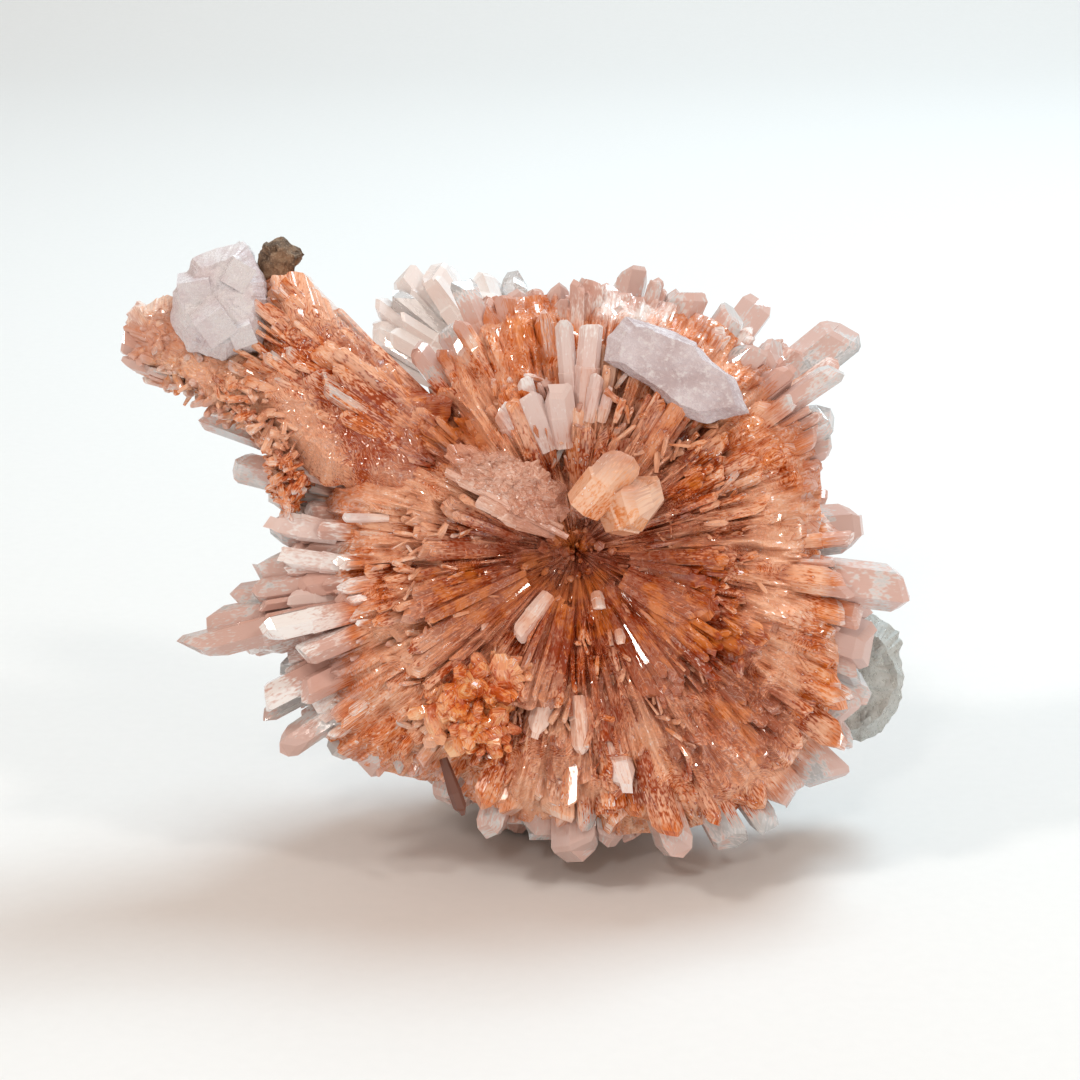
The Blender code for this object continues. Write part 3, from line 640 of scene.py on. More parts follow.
def sheaves(root, tip, width, each, rng, spread, shorter=(0.68, 0.99), thinner=(0.4, 0.85), away=(0.3, 0.95)):
    """Crystals that grew against others: set off to a side by part of a width, nearly parallel."""
    root, tip, width = (np.repeat(part, each, axis=0) for part in (root, tip, width))
    run = tip - root
    length = np.linalg.norm(run, axis=1, keepdims=True)
    aside = rng.normal(0.0, 1.0, root.shape)
    aside -= run * (aside * run).sum(axis=1, keepdims=True) / length**2
    offset = unit(aside) * width[:, None] * rng.uniform(*away, (len(root), 1))
    turned = unit(run / length + rng.normal(0.0, spread, root.shape))
    end = root + offset + turned * length * rng.uniform(*shorter, (len(root), 1))
    return root + offset * 0.5, end, width * rng.uniform(*thinner, len(root))


def led_groups(root, tip, width, share, each, rng, *habit):
    """Groups of prisms: leaders with a share of their width, and the sheaves grown against them."""
    leaders = prisms(root, tip, width * share, rng)
    return [leaders, prisms(*sheaves(root, tip, width, each, rng, *habit), rng)]


def drawn_in(root, tip, width, leader_length, rng):
    """Crystals cut short where they would pass the burr's outline, or go along with a leader."""
    right, up, _ = face_parts(tip)
    outline = outline_at(right, up)
    limit = outline * rng.uniform(*OUTLINE_SHARES, len(tip))
    leader = np.repeat(leader_length, len(tip) // len(leader_length))
    limit += FOLLOWING * np.clip(leader - outline, 0.0, None)
    share = np.minimum(1.0, limit / np.hypot(right, up))
    return root, CENTRE + (tip - CENTRE) * share[:, None], width


rng = np.random.default_rng(11)
SALMON_STOPS = (
    (0.08, (0.34, 0.045, 0.006)), (0.90, (0.96, 0.90, 0.88)), (0.30, (0.62, 0.13, 0.022)),
    (0.50, (0.80, 0.25, 0.075)), (0.74, (0.92, 0.45, 0.26)),
)
creedite = creedite_finish("creedite_salmon", SALMON_STOPS)
angle, tilt, length, rim_width = np.array(RIM_CRYSTALS, float).T
rim_root, rim_tip = from_centre(angle, tilt, length, RIM_START)
tips_group = prisms(rim_root, rim_tip, rim_width, rng)
clear_tips = crystal_object("burr_clear_tips", [tips_group], creedite, rng, 1.0, (0.4, 1.36), PALING)
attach(clear_tips, "root")
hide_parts("creedite_burr")
heart_tip = rim_root + (rim_tip - rim_root) * rng.uniform(*HEART_ENDS, (len(rim_root), 1))
heart_rods = sheaves(rim_root, heart_tip, rim_width, HEARTS, rng, *HEART_HABIT)
rim_groups = [prisms(*heart_rods, rng)]
rim_fellows = sheaves(rim_root, rim_tip, rim_width, RIM_FELLOWS, rng, *RIM_HABIT)
rim_groups.append(prisms(*drawn_in(*rim_fellows, length, rng), rng))
rim = crystal_object("burr_rim_crystals", rim_groups, creedite, rng, 0.1, (0.25, 0.98), PALING)
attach(rim, "root")
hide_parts("creedite_burr")

# The rest of the burr's crystals, thousands of them, fill every direction between the long ones.
# They are shorter, and their tips end at many depths, so that the sides of longer ones show. Under
# the burr a bunch of them reaches the floor, worn level at the spot that it rests on.
BACK_COUNT = 114
BACK_WIDTH = 4.2
BACK_TILT = -9.0
BACK_FELLOWS = 14
BACK_START = 10.0
BACK_SHARES = (0.88, 1.0)
BACK_THINNER = 0.8
BACK_SPREAD = 0.06
FOOT_AT = (3.0, 2.0)
FOOT_HALF = (5.0, 4.6)
FOOT_ROOT_HALF = (3.5, 3.0)
FOOT_TOP = 12.0
FOOT_END = -0.6
FOOT_COUNT = 150
FOOT_SPREAD = 2.1
FOOT_LIFT = 6.0
FOOT_WIDTHS = (1.2, 2.8)
FILL_COUNT = 2000
FILL_START = 9.0
FILL_TILT = 8.0
FILL_SHARES = (0.78, 0.97)
FILL_STRAY = 0.7
FILL_WIDTHS = (1.1, 2.6)


def spiral(count):
    """Directions spread evenly over the sphere: equal steps of height at the golden angle."""
    step = np.arange(count)
    angle = np.mod(np.degrees(step * math.pi * (3.0 - math.sqrt(5.0))), 360.0)
    tilt = np.degrees(np.arcsin(1.0 - 2.0 * (step + 0.5) / count))
    return angle, tilt


angle, tilt = spiral(BACK_COUNT)
angle, tilt = angle[tilt < BACK_TILT], tilt[tilt < BACK_TILT]
angle = angle + rng.uniform(-3.0, 3.0, len(angle))
back_length = reach(angle, tilt) * rng.uniform(*BACK_SHARES, len(angle))
back_root, back_tip = from_centre(angle, tilt, back_length, BACK_START)
back_width = BACK_WIDTH * rng.uniform(0.6, 1.1, len(angle))
back_groups = led_groups(back_root, back_tip, back_width, BACK_THINNER, BACK_FELLOWS, rng, BACK_SPREAD)
foot_turn = rng.uniform(0.0, 2.0 * math.pi, FOOT_COUNT)
foot_out = FOOT_SPREAD * np.sqrt(rng.uniform(0.0, 1.0, FOOT_COUNT))
foot_low = FOOT_LIFT * np.clip(foot_out - 1.0, 0.0, 1.0) * rng.uniform(0.6, 1.4, FOOT_COUNT) + FOOT_END
foot_plan = np.column_stack((np.cos(foot_turn) * foot_out, np.sin(foot_turn) * foot_out))
foot_tip = np.column_stack((FOOT_AT + foot_plan * FOOT_HALF, foot_low))
foot_top = FOOT_AT + foot_plan * FOOT_ROOT_HALF + (0.0, 1.0)
foot_root = np.column_stack((foot_top, np.full(FOOT_COUNT, FOOT_TOP)))
back_groups.append(prisms(foot_root, foot_tip, rng.uniform(*FOOT_WIDTHS, FOOT_COUNT), rng))
back = crystal_object("burr_back_crystals", back_groups, creedite, rng, 0.12, None, PALING)
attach(back, "root")
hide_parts("creedite_burr")

angle, tilt = spiral(FILL_COUNT)
angle = angle + rng.uniform(-5.0, 5.0, FILL_COUNT)
tilt = np.clip(tilt + rng.uniform(-4.0, 4.0, FILL_COUNT), -89.0, 89.0)
angle, tilt = angle[tilt < FILL_TILT], tilt[tilt < FILL_TILT]
fill_length = reach(angle, tilt) * rng.uniform(*FILL_SHARES, len(angle))
fill_root, fill_tip = from_centre(angle, tilt, fill_length, FILL_START)
fill_tip += rng.normal(0.0, FILL_STRAY, fill_tip.shape)
fill_group = prisms(fill_root, fill_tip, rng.uniform(*FILL_WIDTHS, len(angle)), rng)
fill = crystal_object("burr_fill_crystals", [fill_group], creedite, rng, 0.05, None, PALING)
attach(fill, "root")
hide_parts("creedite_burr")

# The open face between its crystals: the flanks of crystals grown side by side, which converge on
# the middle in fine ridges. They rise from the middle like the wall of a dish, and fall to the rim.
FLANK_SPREADS = (0.0, 0.15, 0.3, 0.45, 0.6, 0.75, 0.88, 0.97)
FLANK_HEIGHTS = (2.6, 2.5, 3.3, 4.3, 4.6, 4.0, 2.4, 0.1)
FLANK_ROWS = 112
FLANK_STEPS = 760
FLANK_BACK = -4.5
FLANK_LUMPS = ((6.0, 0.9), (2.2, 0.7), (1.0, 0.3))
FLANK_RIDGES = ((9.0, 0.9), (22.0, 0.7), (50.0, 0.4))
RIDGE_STRETCH = 0.16
PAINTED_VALLEY_SHADE = 0.12
FLANK_CLIMB = 0.74
FLANK_BASE = 0.04
FLANK_SHADING = 0.7
FLANK_MAP = 12.0
FLANK_FACET = 1000.0
SKIN_PAINTED_REFLECTION = 0.8
SUNK_PATCHES = (
    (8.0, 7.6, 3.4, -2.0), (-9.6, 9.2, 2.6, -1.6), (-3.0, 15.4, 2.8, -1.4), (-1.0, -1.4, 2.6, -1.2),
)


def lattice_noise(points, size, seed):
    """Smooth random numbers from -1 to 1: values on a lattice, blended between its corners."""
    at = points / size
    cell = np.floor(at)
    part = at - cell
    part = part * part * (3.0 - 2.0 * part)
    total = np.zeros(points.shape[:-1])
    for corner in np.ndindex(2, 2, 2):
        key = (cell + corner) @ np.array((127.1, 311.7, 74.7)) + seed * 19.3
        value = np.mod(np.sin(key) * 43758.5453, 1.0)
        total += value * np.prod(np.where(np.array(corner) == 1, part, 1.0 - part), axis=-1)
    return 2.0 * total - 1.0


def flank_height(right, up):
    """Height of the flanks over the face: a dish, with lumps of three sizes and sunk patches."""
    spread = np.hypot(right, up) / outline_at(right, up)
    height = np.interp(spread, FLANK_SPREADS, FLANK_HEIGHTS) + region_sum(SUNK_PATCHES, right, up)
    for seed, (size, amount) in enumerate(FLANK_LUMPS):
        height += amount * lattice_noise(np.stack((right, up, 0.0 * right), axis=-1), size, seed + 40)
    return height


def wheel(turn, spokes, along):
    """Places on a wheel around the middle, so that noise there runs along the radius."""
    return np.stack(np.broadcast_arrays(np.cos(turn) * spokes, np.sin(turn) * spokes, along), axis=-1)


def flank_skin():
    """Grid of the closed skin of the flanks, and the relief of each of its corners.

    Ridges are sharp folds of noise on a wheel around the middle, so they run along the radius."""
    angle = np.linspace(0.0, 2.0 * math.pi, FLANK_STEPS, endpoint=False)[None, :]
    spread = np.concatenate(((0.0, 0.5, 0.9), np.linspace(FLANK_SPREADS[-1], 0.0, FLANK_ROWS)))[:, None]
    radius = spread * rim_reach(np.degrees(angle))
    right, up = radius * np.cos(angle), radius * np.sin(angle)
    out = flank_height(right, up)
    relief = 0.0 * out
    for seed, (spokes, amount) in enumerate(FLANK_RIDGES):
        spoke_at = wheel(angle, spokes, radius * RIDGE_STRETCH * (seed + 1.0))
        fold = 1.0 - 2.0 * np.abs(lattice_noise(spoke_at, 1.0, seed + 50))
        out = out + amount * fold * np.clip(radius / 9.0, 0.15, 1.0)
        relief = relief + fold * amount
    out[:3] = FLANK_BACK
    grid = on_face(right, up, out)
    grid[[0, -1]] = grid[[0, -1]].mean(axis=1, keepdims=True)
    return grid, np.concatenate((relief[1:-1].ravel(), relief[[0, -1]].mean(axis=1)))


def skin_traits(item, faces, parts, tone, depth, facet, rng):
    """Give a grown-together skin the traits of crystals. It is nowhere clear and has no tips."""
    right, up, out = parts
    none = 0.0 * right
    stain = region_sum(RUST_SPOTS, right, up) * (out > SPOTS_FROM)
    traits = {"tone": tone, "depth": depth, "clear": none, "edge": none, "facet": none + facet}
    traits["stain"] = stain
    # Each side gets a random brightness that is painted reflection.
    painted_reflection = rng.normal(0.0, SKIN_PAINTED_REFLECTION, sum(len(group) for group in faces))
    set_traits(item, traits, painted_reflection.clip(-2.0 * SKIN_PAINTED_REFLECTION, 2.0 * SKIN_PAINTED_REFLECTION))


grid, flank_relief = flank_skin()
corners, faces = closed_skin(grid)
flanks = write_mesh("burr_flanks", corners, faces, creedite)
right, up, out = face_parts(corners)
radius = np.hypot(right, up)
turn = np.mod(np.arctan2(up, right), 2.0 * math.pi)
order = np.concatenate([group.ravel() for group in faces])
loop_turn = turn[order]
first_turn = np.concatenate([np.repeat(turn[group[:, 1]], group.shape[1]) for group in faces])
loop_turn = loop_turn + 2.0 * math.pi * np.round((first_turn - loop_turn) / (2.0 * math.pi))
set_facet_map(flanks, np.stack((5.0 + loop_turn * FLANK_MAP, radius[order]), axis=-1))
flank_tone = 0.5 + 0.5 * lattice_noise(wheel(turn, 10.0, radius * 0.3), 1.0, 60)
# The depth climbs outward. Paler and darker regions move it, partly as painted light and shade, and the
# relief paints the valleys darker and the ridges paler as painted shade.
flank_depth = radius / rim_reach(np.degrees(turn)) * FLANK_CLIMB + FLANK_BASE
flank_depth += FLANK_SHADING * region_sum(TONE_AND_PAINTED_LIGHT_REGIONS, right, up) + PAINTED_VALLEY_SHADE * flank_relief
skin_traits(flanks, faces, (right, up, out), flank_tone, flank_depth, FLANK_FACET, rng)
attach(flanks, "root")
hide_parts("creedite_burr")

# Crystals of the open face stand like the petals of a flower around a rusty dish. The front ones
# lean most towards the viewer and are the shortest. Here and there a patch of them is sunk.
FACE_COUNT = 290
FACE_TILTS = (1.0, 27.0)
FACE_START = 5.0
FACE_FLAT = (0.4, 0.9)
FACE_SHORTENING = 0.34
FACE_WIDTHS = (1.1, 3.0)
FACE_FELLOWS = 6
FACE_HABIT = (0.025, (0.86, 1.0), (0.3, 0.75), (0.2, 0.85))
INNER_COUNT = 420
INNER_REACH = 12.0
INNER_LENGTHS = (0.4, 1.5)
INNER_WIDTHS = (0.3, 1.4)
INNER_OPENING = 7.0
INNER_STRAY = 0.22
INNER_BURIED = 1.5
TIP_STRAY = 0.6
SUNK_TILT = 8.0


def petal_length(angle, tilt):
    """Length of a face crystal: the outline's reach, less a share that grows with its tilt."""
    leaning = np.clip((tilt - FACE_TILTS[0]) / (FACE_TILTS[1] - FACE_TILTS[0]), 0.0, 1.4)
    return rim_reach(angle) * (1.0 - FACE_SHORTENING * leaning**1.3)


angle = spiral(FACE_COUNT)[0]
tilt = FACE_TILTS[0] + (FACE_TILTS[1] - FACE_TILTS[0]) * rng.uniform(0.0, 1.0, FACE_COUNT) ** 1.6
length = petal_length(angle, tilt) * rng.uniform(0.78, 1.0, FACE_COUNT)
first_tip = from_centre(angle, tilt, length, FACE_START)[1]
tilt = tilt + SUNK_TILT * region_sum(SUNK_PATCHES, *face_parts(first_tip)[:2])
face_root, face_tip = from_centre(angle, tilt, length, FACE_START)
face_width = rng.uniform(*FACE_WIDTHS, FACE_COUNT)
face_tip += rng.normal(0.0, TIP_STRAY, face_tip.shape)
face_groups = [prisms(face_root, face_tip, face_width, rng, flat=FACE_FLAT)]

inner_angle = rng.uniform(0.0, 2.0 * math.pi, INNER_COUNT)
inner_radius = INNER_REACH * rng.uniform(0.0, 1.0, INNER_COUNT) ** 0.8
right, up = inner_radius * np.cos(inner_angle), inner_radius * np.sin(inner_angle)
inner_base = on_face(right, up, flank_height(right, up) - 0.4)
inner_aim = (right[:, None] * RIGHT + up[:, None] * UP) / INNER_OPENING
inner_aim = inner_aim + OUT * rng.uniform(0.1, 1.0, (INNER_COUNT, 1))
inner_aim = unit(inner_aim + rng.normal(0.0, INNER_STRAY, inner_aim.shape))
inner_root = inner_base - inner_aim * INNER_BURIED
inner_tip = inner_base + inner_aim * rng.uniform(*INNER_LENGTHS, (INNER_COUNT, 1))
inner_width = np.interp(rng.uniform(0.0, 1.0, INNER_COUNT) ** 2, (0.0, 1.0), INNER_WIDTHS)
face_groups += led_groups(inner_root, inner_tip, inner_width, 1.0, 1, rng, 0.1)
fellows = sheaves(face_root, face_tip, face_width, FACE_FELLOWS, rng, *FACE_HABIT)
face_groups.append(prisms(*fellows, rng, flat=FACE_FLAT))
face = crystal_object("burr_face_crystals", face_groups, creedite, rng, 0.04, None, PALING)
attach(face, "root")
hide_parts("creedite_burr")

# Small late crystals sit on the sides of the long ones, all over the burr. Each is under a
# millimetre wide, and they sparkle.
DRUSE_COUNT = 2600
DRUSE_WIDTHS = (0.2, 0.7)
DRUSE_LENGTHS = (0.3, 1.0)
DRUSE_IN_FRONT = 0.55
DRUSE_STRAY = 0.45

angle = rng.uniform(0.0, 360.0, DRUSE_COUNT)
in_front = rng.uniform(0.0, 1.0, DRUSE_COUNT) < DRUSE_IN_FRONT
front_tilt = rng.uniform(0.0, 30.0, DRUSE_COUNT)
tilt = np.where(in_front, front_tilt, np.degrees(np.arcsin(rng.uniform(-1.0, 0.1, DRUSE_COUNT))))
span = np.where(tilt > 0.0, petal_length(angle, tilt), reach(angle, tilt))
span = span * rng.uniform(0.5, 0.97, DRUSE_COUNT)
druse_base = CENTRE + direction(angle, tilt) * span[:, None]
druse_aim = unit(direction(angle, tilt) + rng.normal(0.0, DRUSE_STRAY, (DRUSE_COUNT, 3)))
druse_tip = druse_base + druse_aim * rng.uniform(*DRUSE_LENGTHS, (DRUSE_COUNT, 1))
druse_group = prisms(druse_base - druse_aim, druse_tip, rng.uniform(*DRUSE_WIDTHS, DRUSE_COUNT), rng)
druse = crystal_object("burr_druse", [druse_group], creedite, rng, 0.1, (0.6, 1.1), PALING)
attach(druse, "root")
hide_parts("creedite_burr")

# The arm is a sheaf of very long crystals that grew up to the left, rusty between its members
# and pale at the ends. They are grown into one mass below, and small crystals lie on it and hang
# from its lower edge.
ARM_START = 10.0
ARM_CRYSTALS = (
    (137.4, 0, 30.3, 2.0), (138.6, 3, 31.4, 2.6), (141.5, 5, 30.2, 3.2),
    (144.5, 3, 29.6, 3.4), (139.8, -6, 29.6, 3.0), (143.5, -6, 29.0, 3.4), (147.5, 0, 27.6, 3.8),
    (141.5, 12, 25.2, 3.2), (146, 11, 24.6, 3.4), (151, 6, 26.0, 3.6), (149, -9, 25.6, 4.0),
    (143.5, -14, 22.5, 3.8), (155.4, 2, 25.6, 3.6), (158.0, -3, 25.0, 3.4), (137.8, 1, 31.3, 2.0),
    (138.8, 4, 24.0, 2.6), (138.6, -4, 30.4, 2.4),
)
ARM_FELLOWS = 12
ARM_HABIT = (0.015, (0.66, 0.98), (0.3, 0.7), (0.1, 0.6))
ARM_THINNER = 0.85
ARM_LYING = 300
LYING_ANGLES = (137.0, 15.0)
LYING_REACH = (12.0, 15.0)
LYING_HEIGHT = (3.2, 1.4)
LYING_LENGTH = (1.0, 3.0)
LYING_WIDTHS = (0.4, 1.3)
# Sizes of small crystals along an edge, and the map of a grown mass: how far off its middle it
# starts, and a side so wide that it has no outlines.
EDGE_DRUSE_LENGTHS = (0.3, 1.3)
EDGE_DRUSE_WIDTHS = (0.3, 1.0)
MASS_OFFSET = 500.0
MASS_FACET = 10000.0
ARM_MASS = (
    (-9.0, 11.0), (-12.2, 12.2), (-20.6, 21.0), (-23.0, 20.6), (-23.8, 16.5), (-24.6, 12.0), (-22.8, 8.4),
    (-19.0, 5.0), (-10.0, 2.0),
)
ARM_MASS_DEPTHS = (-5.0, 5.0)
ARM_MASS_LINE = ((-9.0, 6.5, 0.0), (-21.5, 20.0, 0.0))
ARM_EDGE = ((-27.2, 11.6), (-24.4, 9.6), (-22.8, 7.4), (-22.6, 4.8), (-21.6, 2.6))
ARM_DRUSE = 560


def ruffled(grid, amount, sizes, seed):
    """Points moved by noise in each direction: an amount for each lattice size in turn."""
    for layer, size in enumerate(sizes):
        moves = [lattice_noise(grid, size, seed + layer * 7 + part) for part in range(3)]
        grid = grid + np.stack(moves, axis=-1) * amount / (1.6**layer)
    return grid


def slab_skin(outline, depths, inset, rough, sizes, seed, chamfer=0.5, steps=96, rows=9, lean=(0.0, 0.0)):
    """Closed skin of a slab: loops from the middle of its back, round its edge, to its front.

    Each loop is the outline drawn towards its middle by a share, down to the inset. The edge has
    a chamfer on both sides, the depth leans across the slab, and noise of the given sizes
    ruffles it all by a rough amount."""
    corners = np.array(outline + outline[:1], float)
    run = np.concatenate(((0.0,), np.cumsum(np.linalg.norm(np.diff(corners, axis=0), axis=1))))
    at = np.linspace(0.0, run[-1], steps, endpoint=False)
    loop = np.stack([np.interp(at, run, corners[:, part]) for part in range(2)], axis=-1)
    if np.cross(loop, np.roll(loop, -1, axis=0)).sum() < 0.0:
        loop = loop[::-1]
    middle = loop.mean(axis=0)
    flat = np.linspace(0.0, inset, rows)
    share = np.concatenate((flat, (1.0, 1.0), flat[::-1]))
    edge = np.array((depths[0] + chamfer, depths[1] - chamfer))
    depth = np.concatenate((np.full(rows, depths[0]), edge, np.full(rows, depths[1])))
    plan = middle + (loop - middle)[None] * share[:, None, None]
    out = depth[:, None] + (plan - middle) @ np.array(lean)
    grid = ruffled(on_face(plan[..., 0], plan[..., 1], out), rough, sizes, seed)
    grid[[0, -1]] = grid[[0, -1]].mean(axis=1, keepdims=True)
    return closed_skin(grid)


def edge_druse(name, path, count, depths, breadth, material, rng, hearts):
    """Small crystals along an edge given by points on the face: they look down and outward."""
    points = np.array(path)
    at = rng.uniform(0.0, len(points) - 1.0, count)
    right, up = (np.interp(at, np.arange(len(points)), points[:, part]) for part in range(2))
    inward = rng.uniform(-0.2, breadth, count)
    base = on_face(right + 0.5 * inward, up + inward, rng.uniform(*depths, count))
    aim = unit(rng.normal(0.0, 0.55, (count, 3)) - 0.5 * RIGHT - 0.3 * UP + 0.6 * OUT)
    tip = base + aim * rng.uniform(*EDGE_DRUSE_LENGTHS, (count, 1))
    group = prisms(base - aim, tip, rng.uniform(*EDGE_DRUSE_WIDTHS, count), rng)
    return crystal_object(name, [group], material, rng, 0.15, hearts)


def grown_mass(name, skin, material, line, hearts, rng):
    """Object of crystals grown into one mass along a line on the face, from a closed skin.

    Its facet map runs across the line and along it, and it has the traits of crystals. Their depth
    climbs along the line between the two values given."""
    corners, faces = skin
    item = write_mesh(name, corners, faces, material)
    start, end = on_face(*line[0]), on_face(*line[1])
    length = np.linalg.norm(end - start)
    axis = (end - start) / length
    across = np.cross(axis, OUT)
    offset = corners - start
    along = offset @ axis
    side = offset @ across / np.linalg.norm(across) + 0.7 * (offset @ OUT)
    order = np.concatenate([group.ravel() for group in faces])
    set_facet_map(item, np.stack((side + MASS_OFFSET, along), axis=-1)[order])
    right, up, out = face_parts(corners)
    tone = 0.5 + 0.5 * lattice_noise(np.stack((side * 0.6, along * 0.1, 0.0 * along), axis=-1), 1.0, 70)
    depth = hearts[0] + (hearts[1] - hearts[0]) * np.clip(along / length, 0.0, 1.1)
    # Paler and darker regions move the depth, partly as painted light and shade.
    depth = depth + region_sum(TONE_AND_PAINTED_LIGHT_REGIONS, right, up) * (out > SHADING_FROM)
    skin_traits(item, faces, (right, up, out), tone, depth, MASS_FACET, rng)
    return item


angle, tilt, length, arm_width = np.array(ARM_CRYSTALS, float).T
arm_root, arm_tip = from_centre(angle, tilt, length, ARM_START)
mass_skin = slab_skin(ARM_MASS, ARM_MASS_DEPTHS, 0.7, 0.45, (2.6, 0.9, 0.4), 61, 2.2, steps=300, rows=70)
arm_mass = grown_mass("arm_mass", mass_skin, creedite, ARM_MASS_LINE, (0.36, 0.66), rng)
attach(arm_mass, "root")
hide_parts("creedite_arm")
arm_groups = led_groups(arm_root, arm_tip, arm_width, ARM_THINNER, ARM_FELLOWS, rng, *ARM_HABIT)
lying = rng.uniform(0.0, 1.0, (4, ARM_LYING))
lying_angle = np.radians(LYING_ANGLES[0] + LYING_ANGLES[1] * lying[0])
lying_radius = LYING_REACH[0] + LYING_REACH[1] * lying[1]
lying_out = LYING_HEIGHT[0] + LYING_HEIGHT[1] * lying[2]
lying_root = on_face(lying_radius * np.cos(lying_angle), lying_radius * np.sin(lying_angle), lying_out)
lying_aim = direction(np.degrees(lying_angle), 6.0) + rng.normal(0.0, 0.12, (ARM_LYING, 3))
lying_tip = lying_root + lying_aim * (LYING_LENGTH[0] + LYING_LENGTH[1] * lying[3])[:, None]
arm_groups.append(prisms(lying_root, lying_tip, rng.uniform(*LYING_WIDTHS, ARM_LYING), rng))
arm = crystal_object("arm_crystals", arm_groups, creedite, rng, 0.1, (0.32, 0.95))
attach(arm, "root")
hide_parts("creedite_arm")
arm_druse = edge_druse("arm_druse", ARM_EDGE, ARM_DRUSE, (-3.0, 4.6), 2.6, creedite, rng, (0.2, 0.85))
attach(arm_druse, "root")
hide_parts("creedite_arm")

# The blade group on the far side of the fluorite: thin pale crystals with rust at their ends.
BLADE_START = 32.5
BLADE_CRYSTALS = (
    (155.2, 2, 38.2, 3.4), (151.6, 1, 38.6, 2.8), (156.8, 2, 36.4, 2.6), (153.4, 3, 37.4, 3.2),
    (153.6, -4, 36.4, 2.6), (150.6, 2, 37.0, 2.4),
)
BLADE_FELLOWS = 7
BLADE_HABIT = (0.05, (0.6, 1.0), (0.3, 0.7), (0.1, 0.6))
BLADE_MASS = (
    (-22.0, 13.6), (-29.8, 19.0), (-33.6, 18.4), (-34.2, 17.0), (-33.2, 15.2), (-31.0, 13.6), (-27.6, 11.4),
    (-23.4, 8.6),
)
BLADE_MASS_DEPTHS = (-3.0, 3.6)
BLADE_MASS_LINE = ((-21.0, 9.5, 0.0), (-34.0, 17.5, 0.0))
BLADE_EDGE = ((-33.0, 14.8), (-30.4, 12.8), (-27.6, 11.0), (-25.4, 9.8))
BLADE_DRUSE = 340

CREAM_STOPS = (
    (0.15, (0.78, 0.22, 0.05)), (0.90, (0.98, 0.83, 0.74)), (0.40, (0.92, 0.42, 0.20)),
    (0.60, (0.95, 0.60, 0.42)),
)
cream = creedite_finish("creedite_cream", CREAM_STOPS, 1.0, grain=0.3)
angle, tilt, length, blade_width = np.array(BLADE_CRYSTALS, float).T
blade_root, blade_tip = from_centre(angle, tilt, length, BLADE_START)
mass_skin = slab_skin(BLADE_MASS, BLADE_MASS_DEPTHS, 0.8, 0.5, (1.5, 0.6, 0.3), 63, 1.2, steps=240, rows=50)
blade_mass = grown_mass("blade_mass", mass_skin, cream, BLADE_MASS_LINE, (0.62, 1.05), rng)
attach(blade_mass, "root")
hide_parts("creedite_blade_group")
blade_groups = led_groups(blade_root, blade_tip, blade_width, 0.8, BLADE_FELLOWS, rng, *BLADE_HABIT)
blades = crystal_object("blade_group_crystals", blade_groups, cream, rng, 0.3, (0.7, 1.2))
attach(blades, "root")
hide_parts("creedite_blade_group")

blade_druse = edge_druse("blade_druse", BLADE_EDGE, BLADE_DRUSE, (-2.0, 3.4), 2.8, cream, rng, (0.5, 1.1))
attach(blade_druse, "root")
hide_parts("creedite_blade_group")

# The pale cluster behind the top edge: clear to cream crystals with little iron in them.
CLUSTER_ROOT = (-5.0, 11.5, -10.5)
CLUSTER_TIPS = (
    (-16.0, 19.8, -12.0, 3.6), (-13.8, 22.2, -12.5, 4.0), (-10.8, 23.0, -13.5, 4.0),
    (-7.4, 22.4, -14.0, 4.0), (-15.6, 17.2, -11.0, 3.4), (-11.5, 20.8, -17.0, 4.4),
    (-5.0, 21.0, -15.0, 3.8),
)
CLUSTER_FELLOWS = 5
CLUSTER_HABIT = (0.03, (0.8, 1.0), (0.5, 0.9), (0.2, 0.7))

CLEAR_STOPS = (
    (0.10, (0.92, 0.50, 0.28)), (0.90, (0.97, 0.98, 0.99)), (0.35, (0.96, 0.82, 0.72)),
    (0.60, (0.98, 0.91, 0.87)),
)
clear_creedite = creedite_finish("creedite_clear", CLEAR_STOPS, 0.2, 0.3, (0.1, 0.3), 1.0, 0.4)
right, up, out, cluster_width = np.array(CLUSTER_TIPS, float).T
cluster_tip = on_face(right, up, out)
cluster_root = np.broadcast_to(on_face(*CLUSTER_ROOT), cluster_tip.shape)
groups = led_groups(cluster_root, cluster_tip, cluster_width, 0.8, CLUSTER_FELLOWS, rng, *CLUSTER_HABIT)
cluster = crystal_object("pale_cluster_crystals", groups, clear_creedite, rng, 0.15, (1.1, 1.6))
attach(cluster, "root")
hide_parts("creedite_pale_cluster")

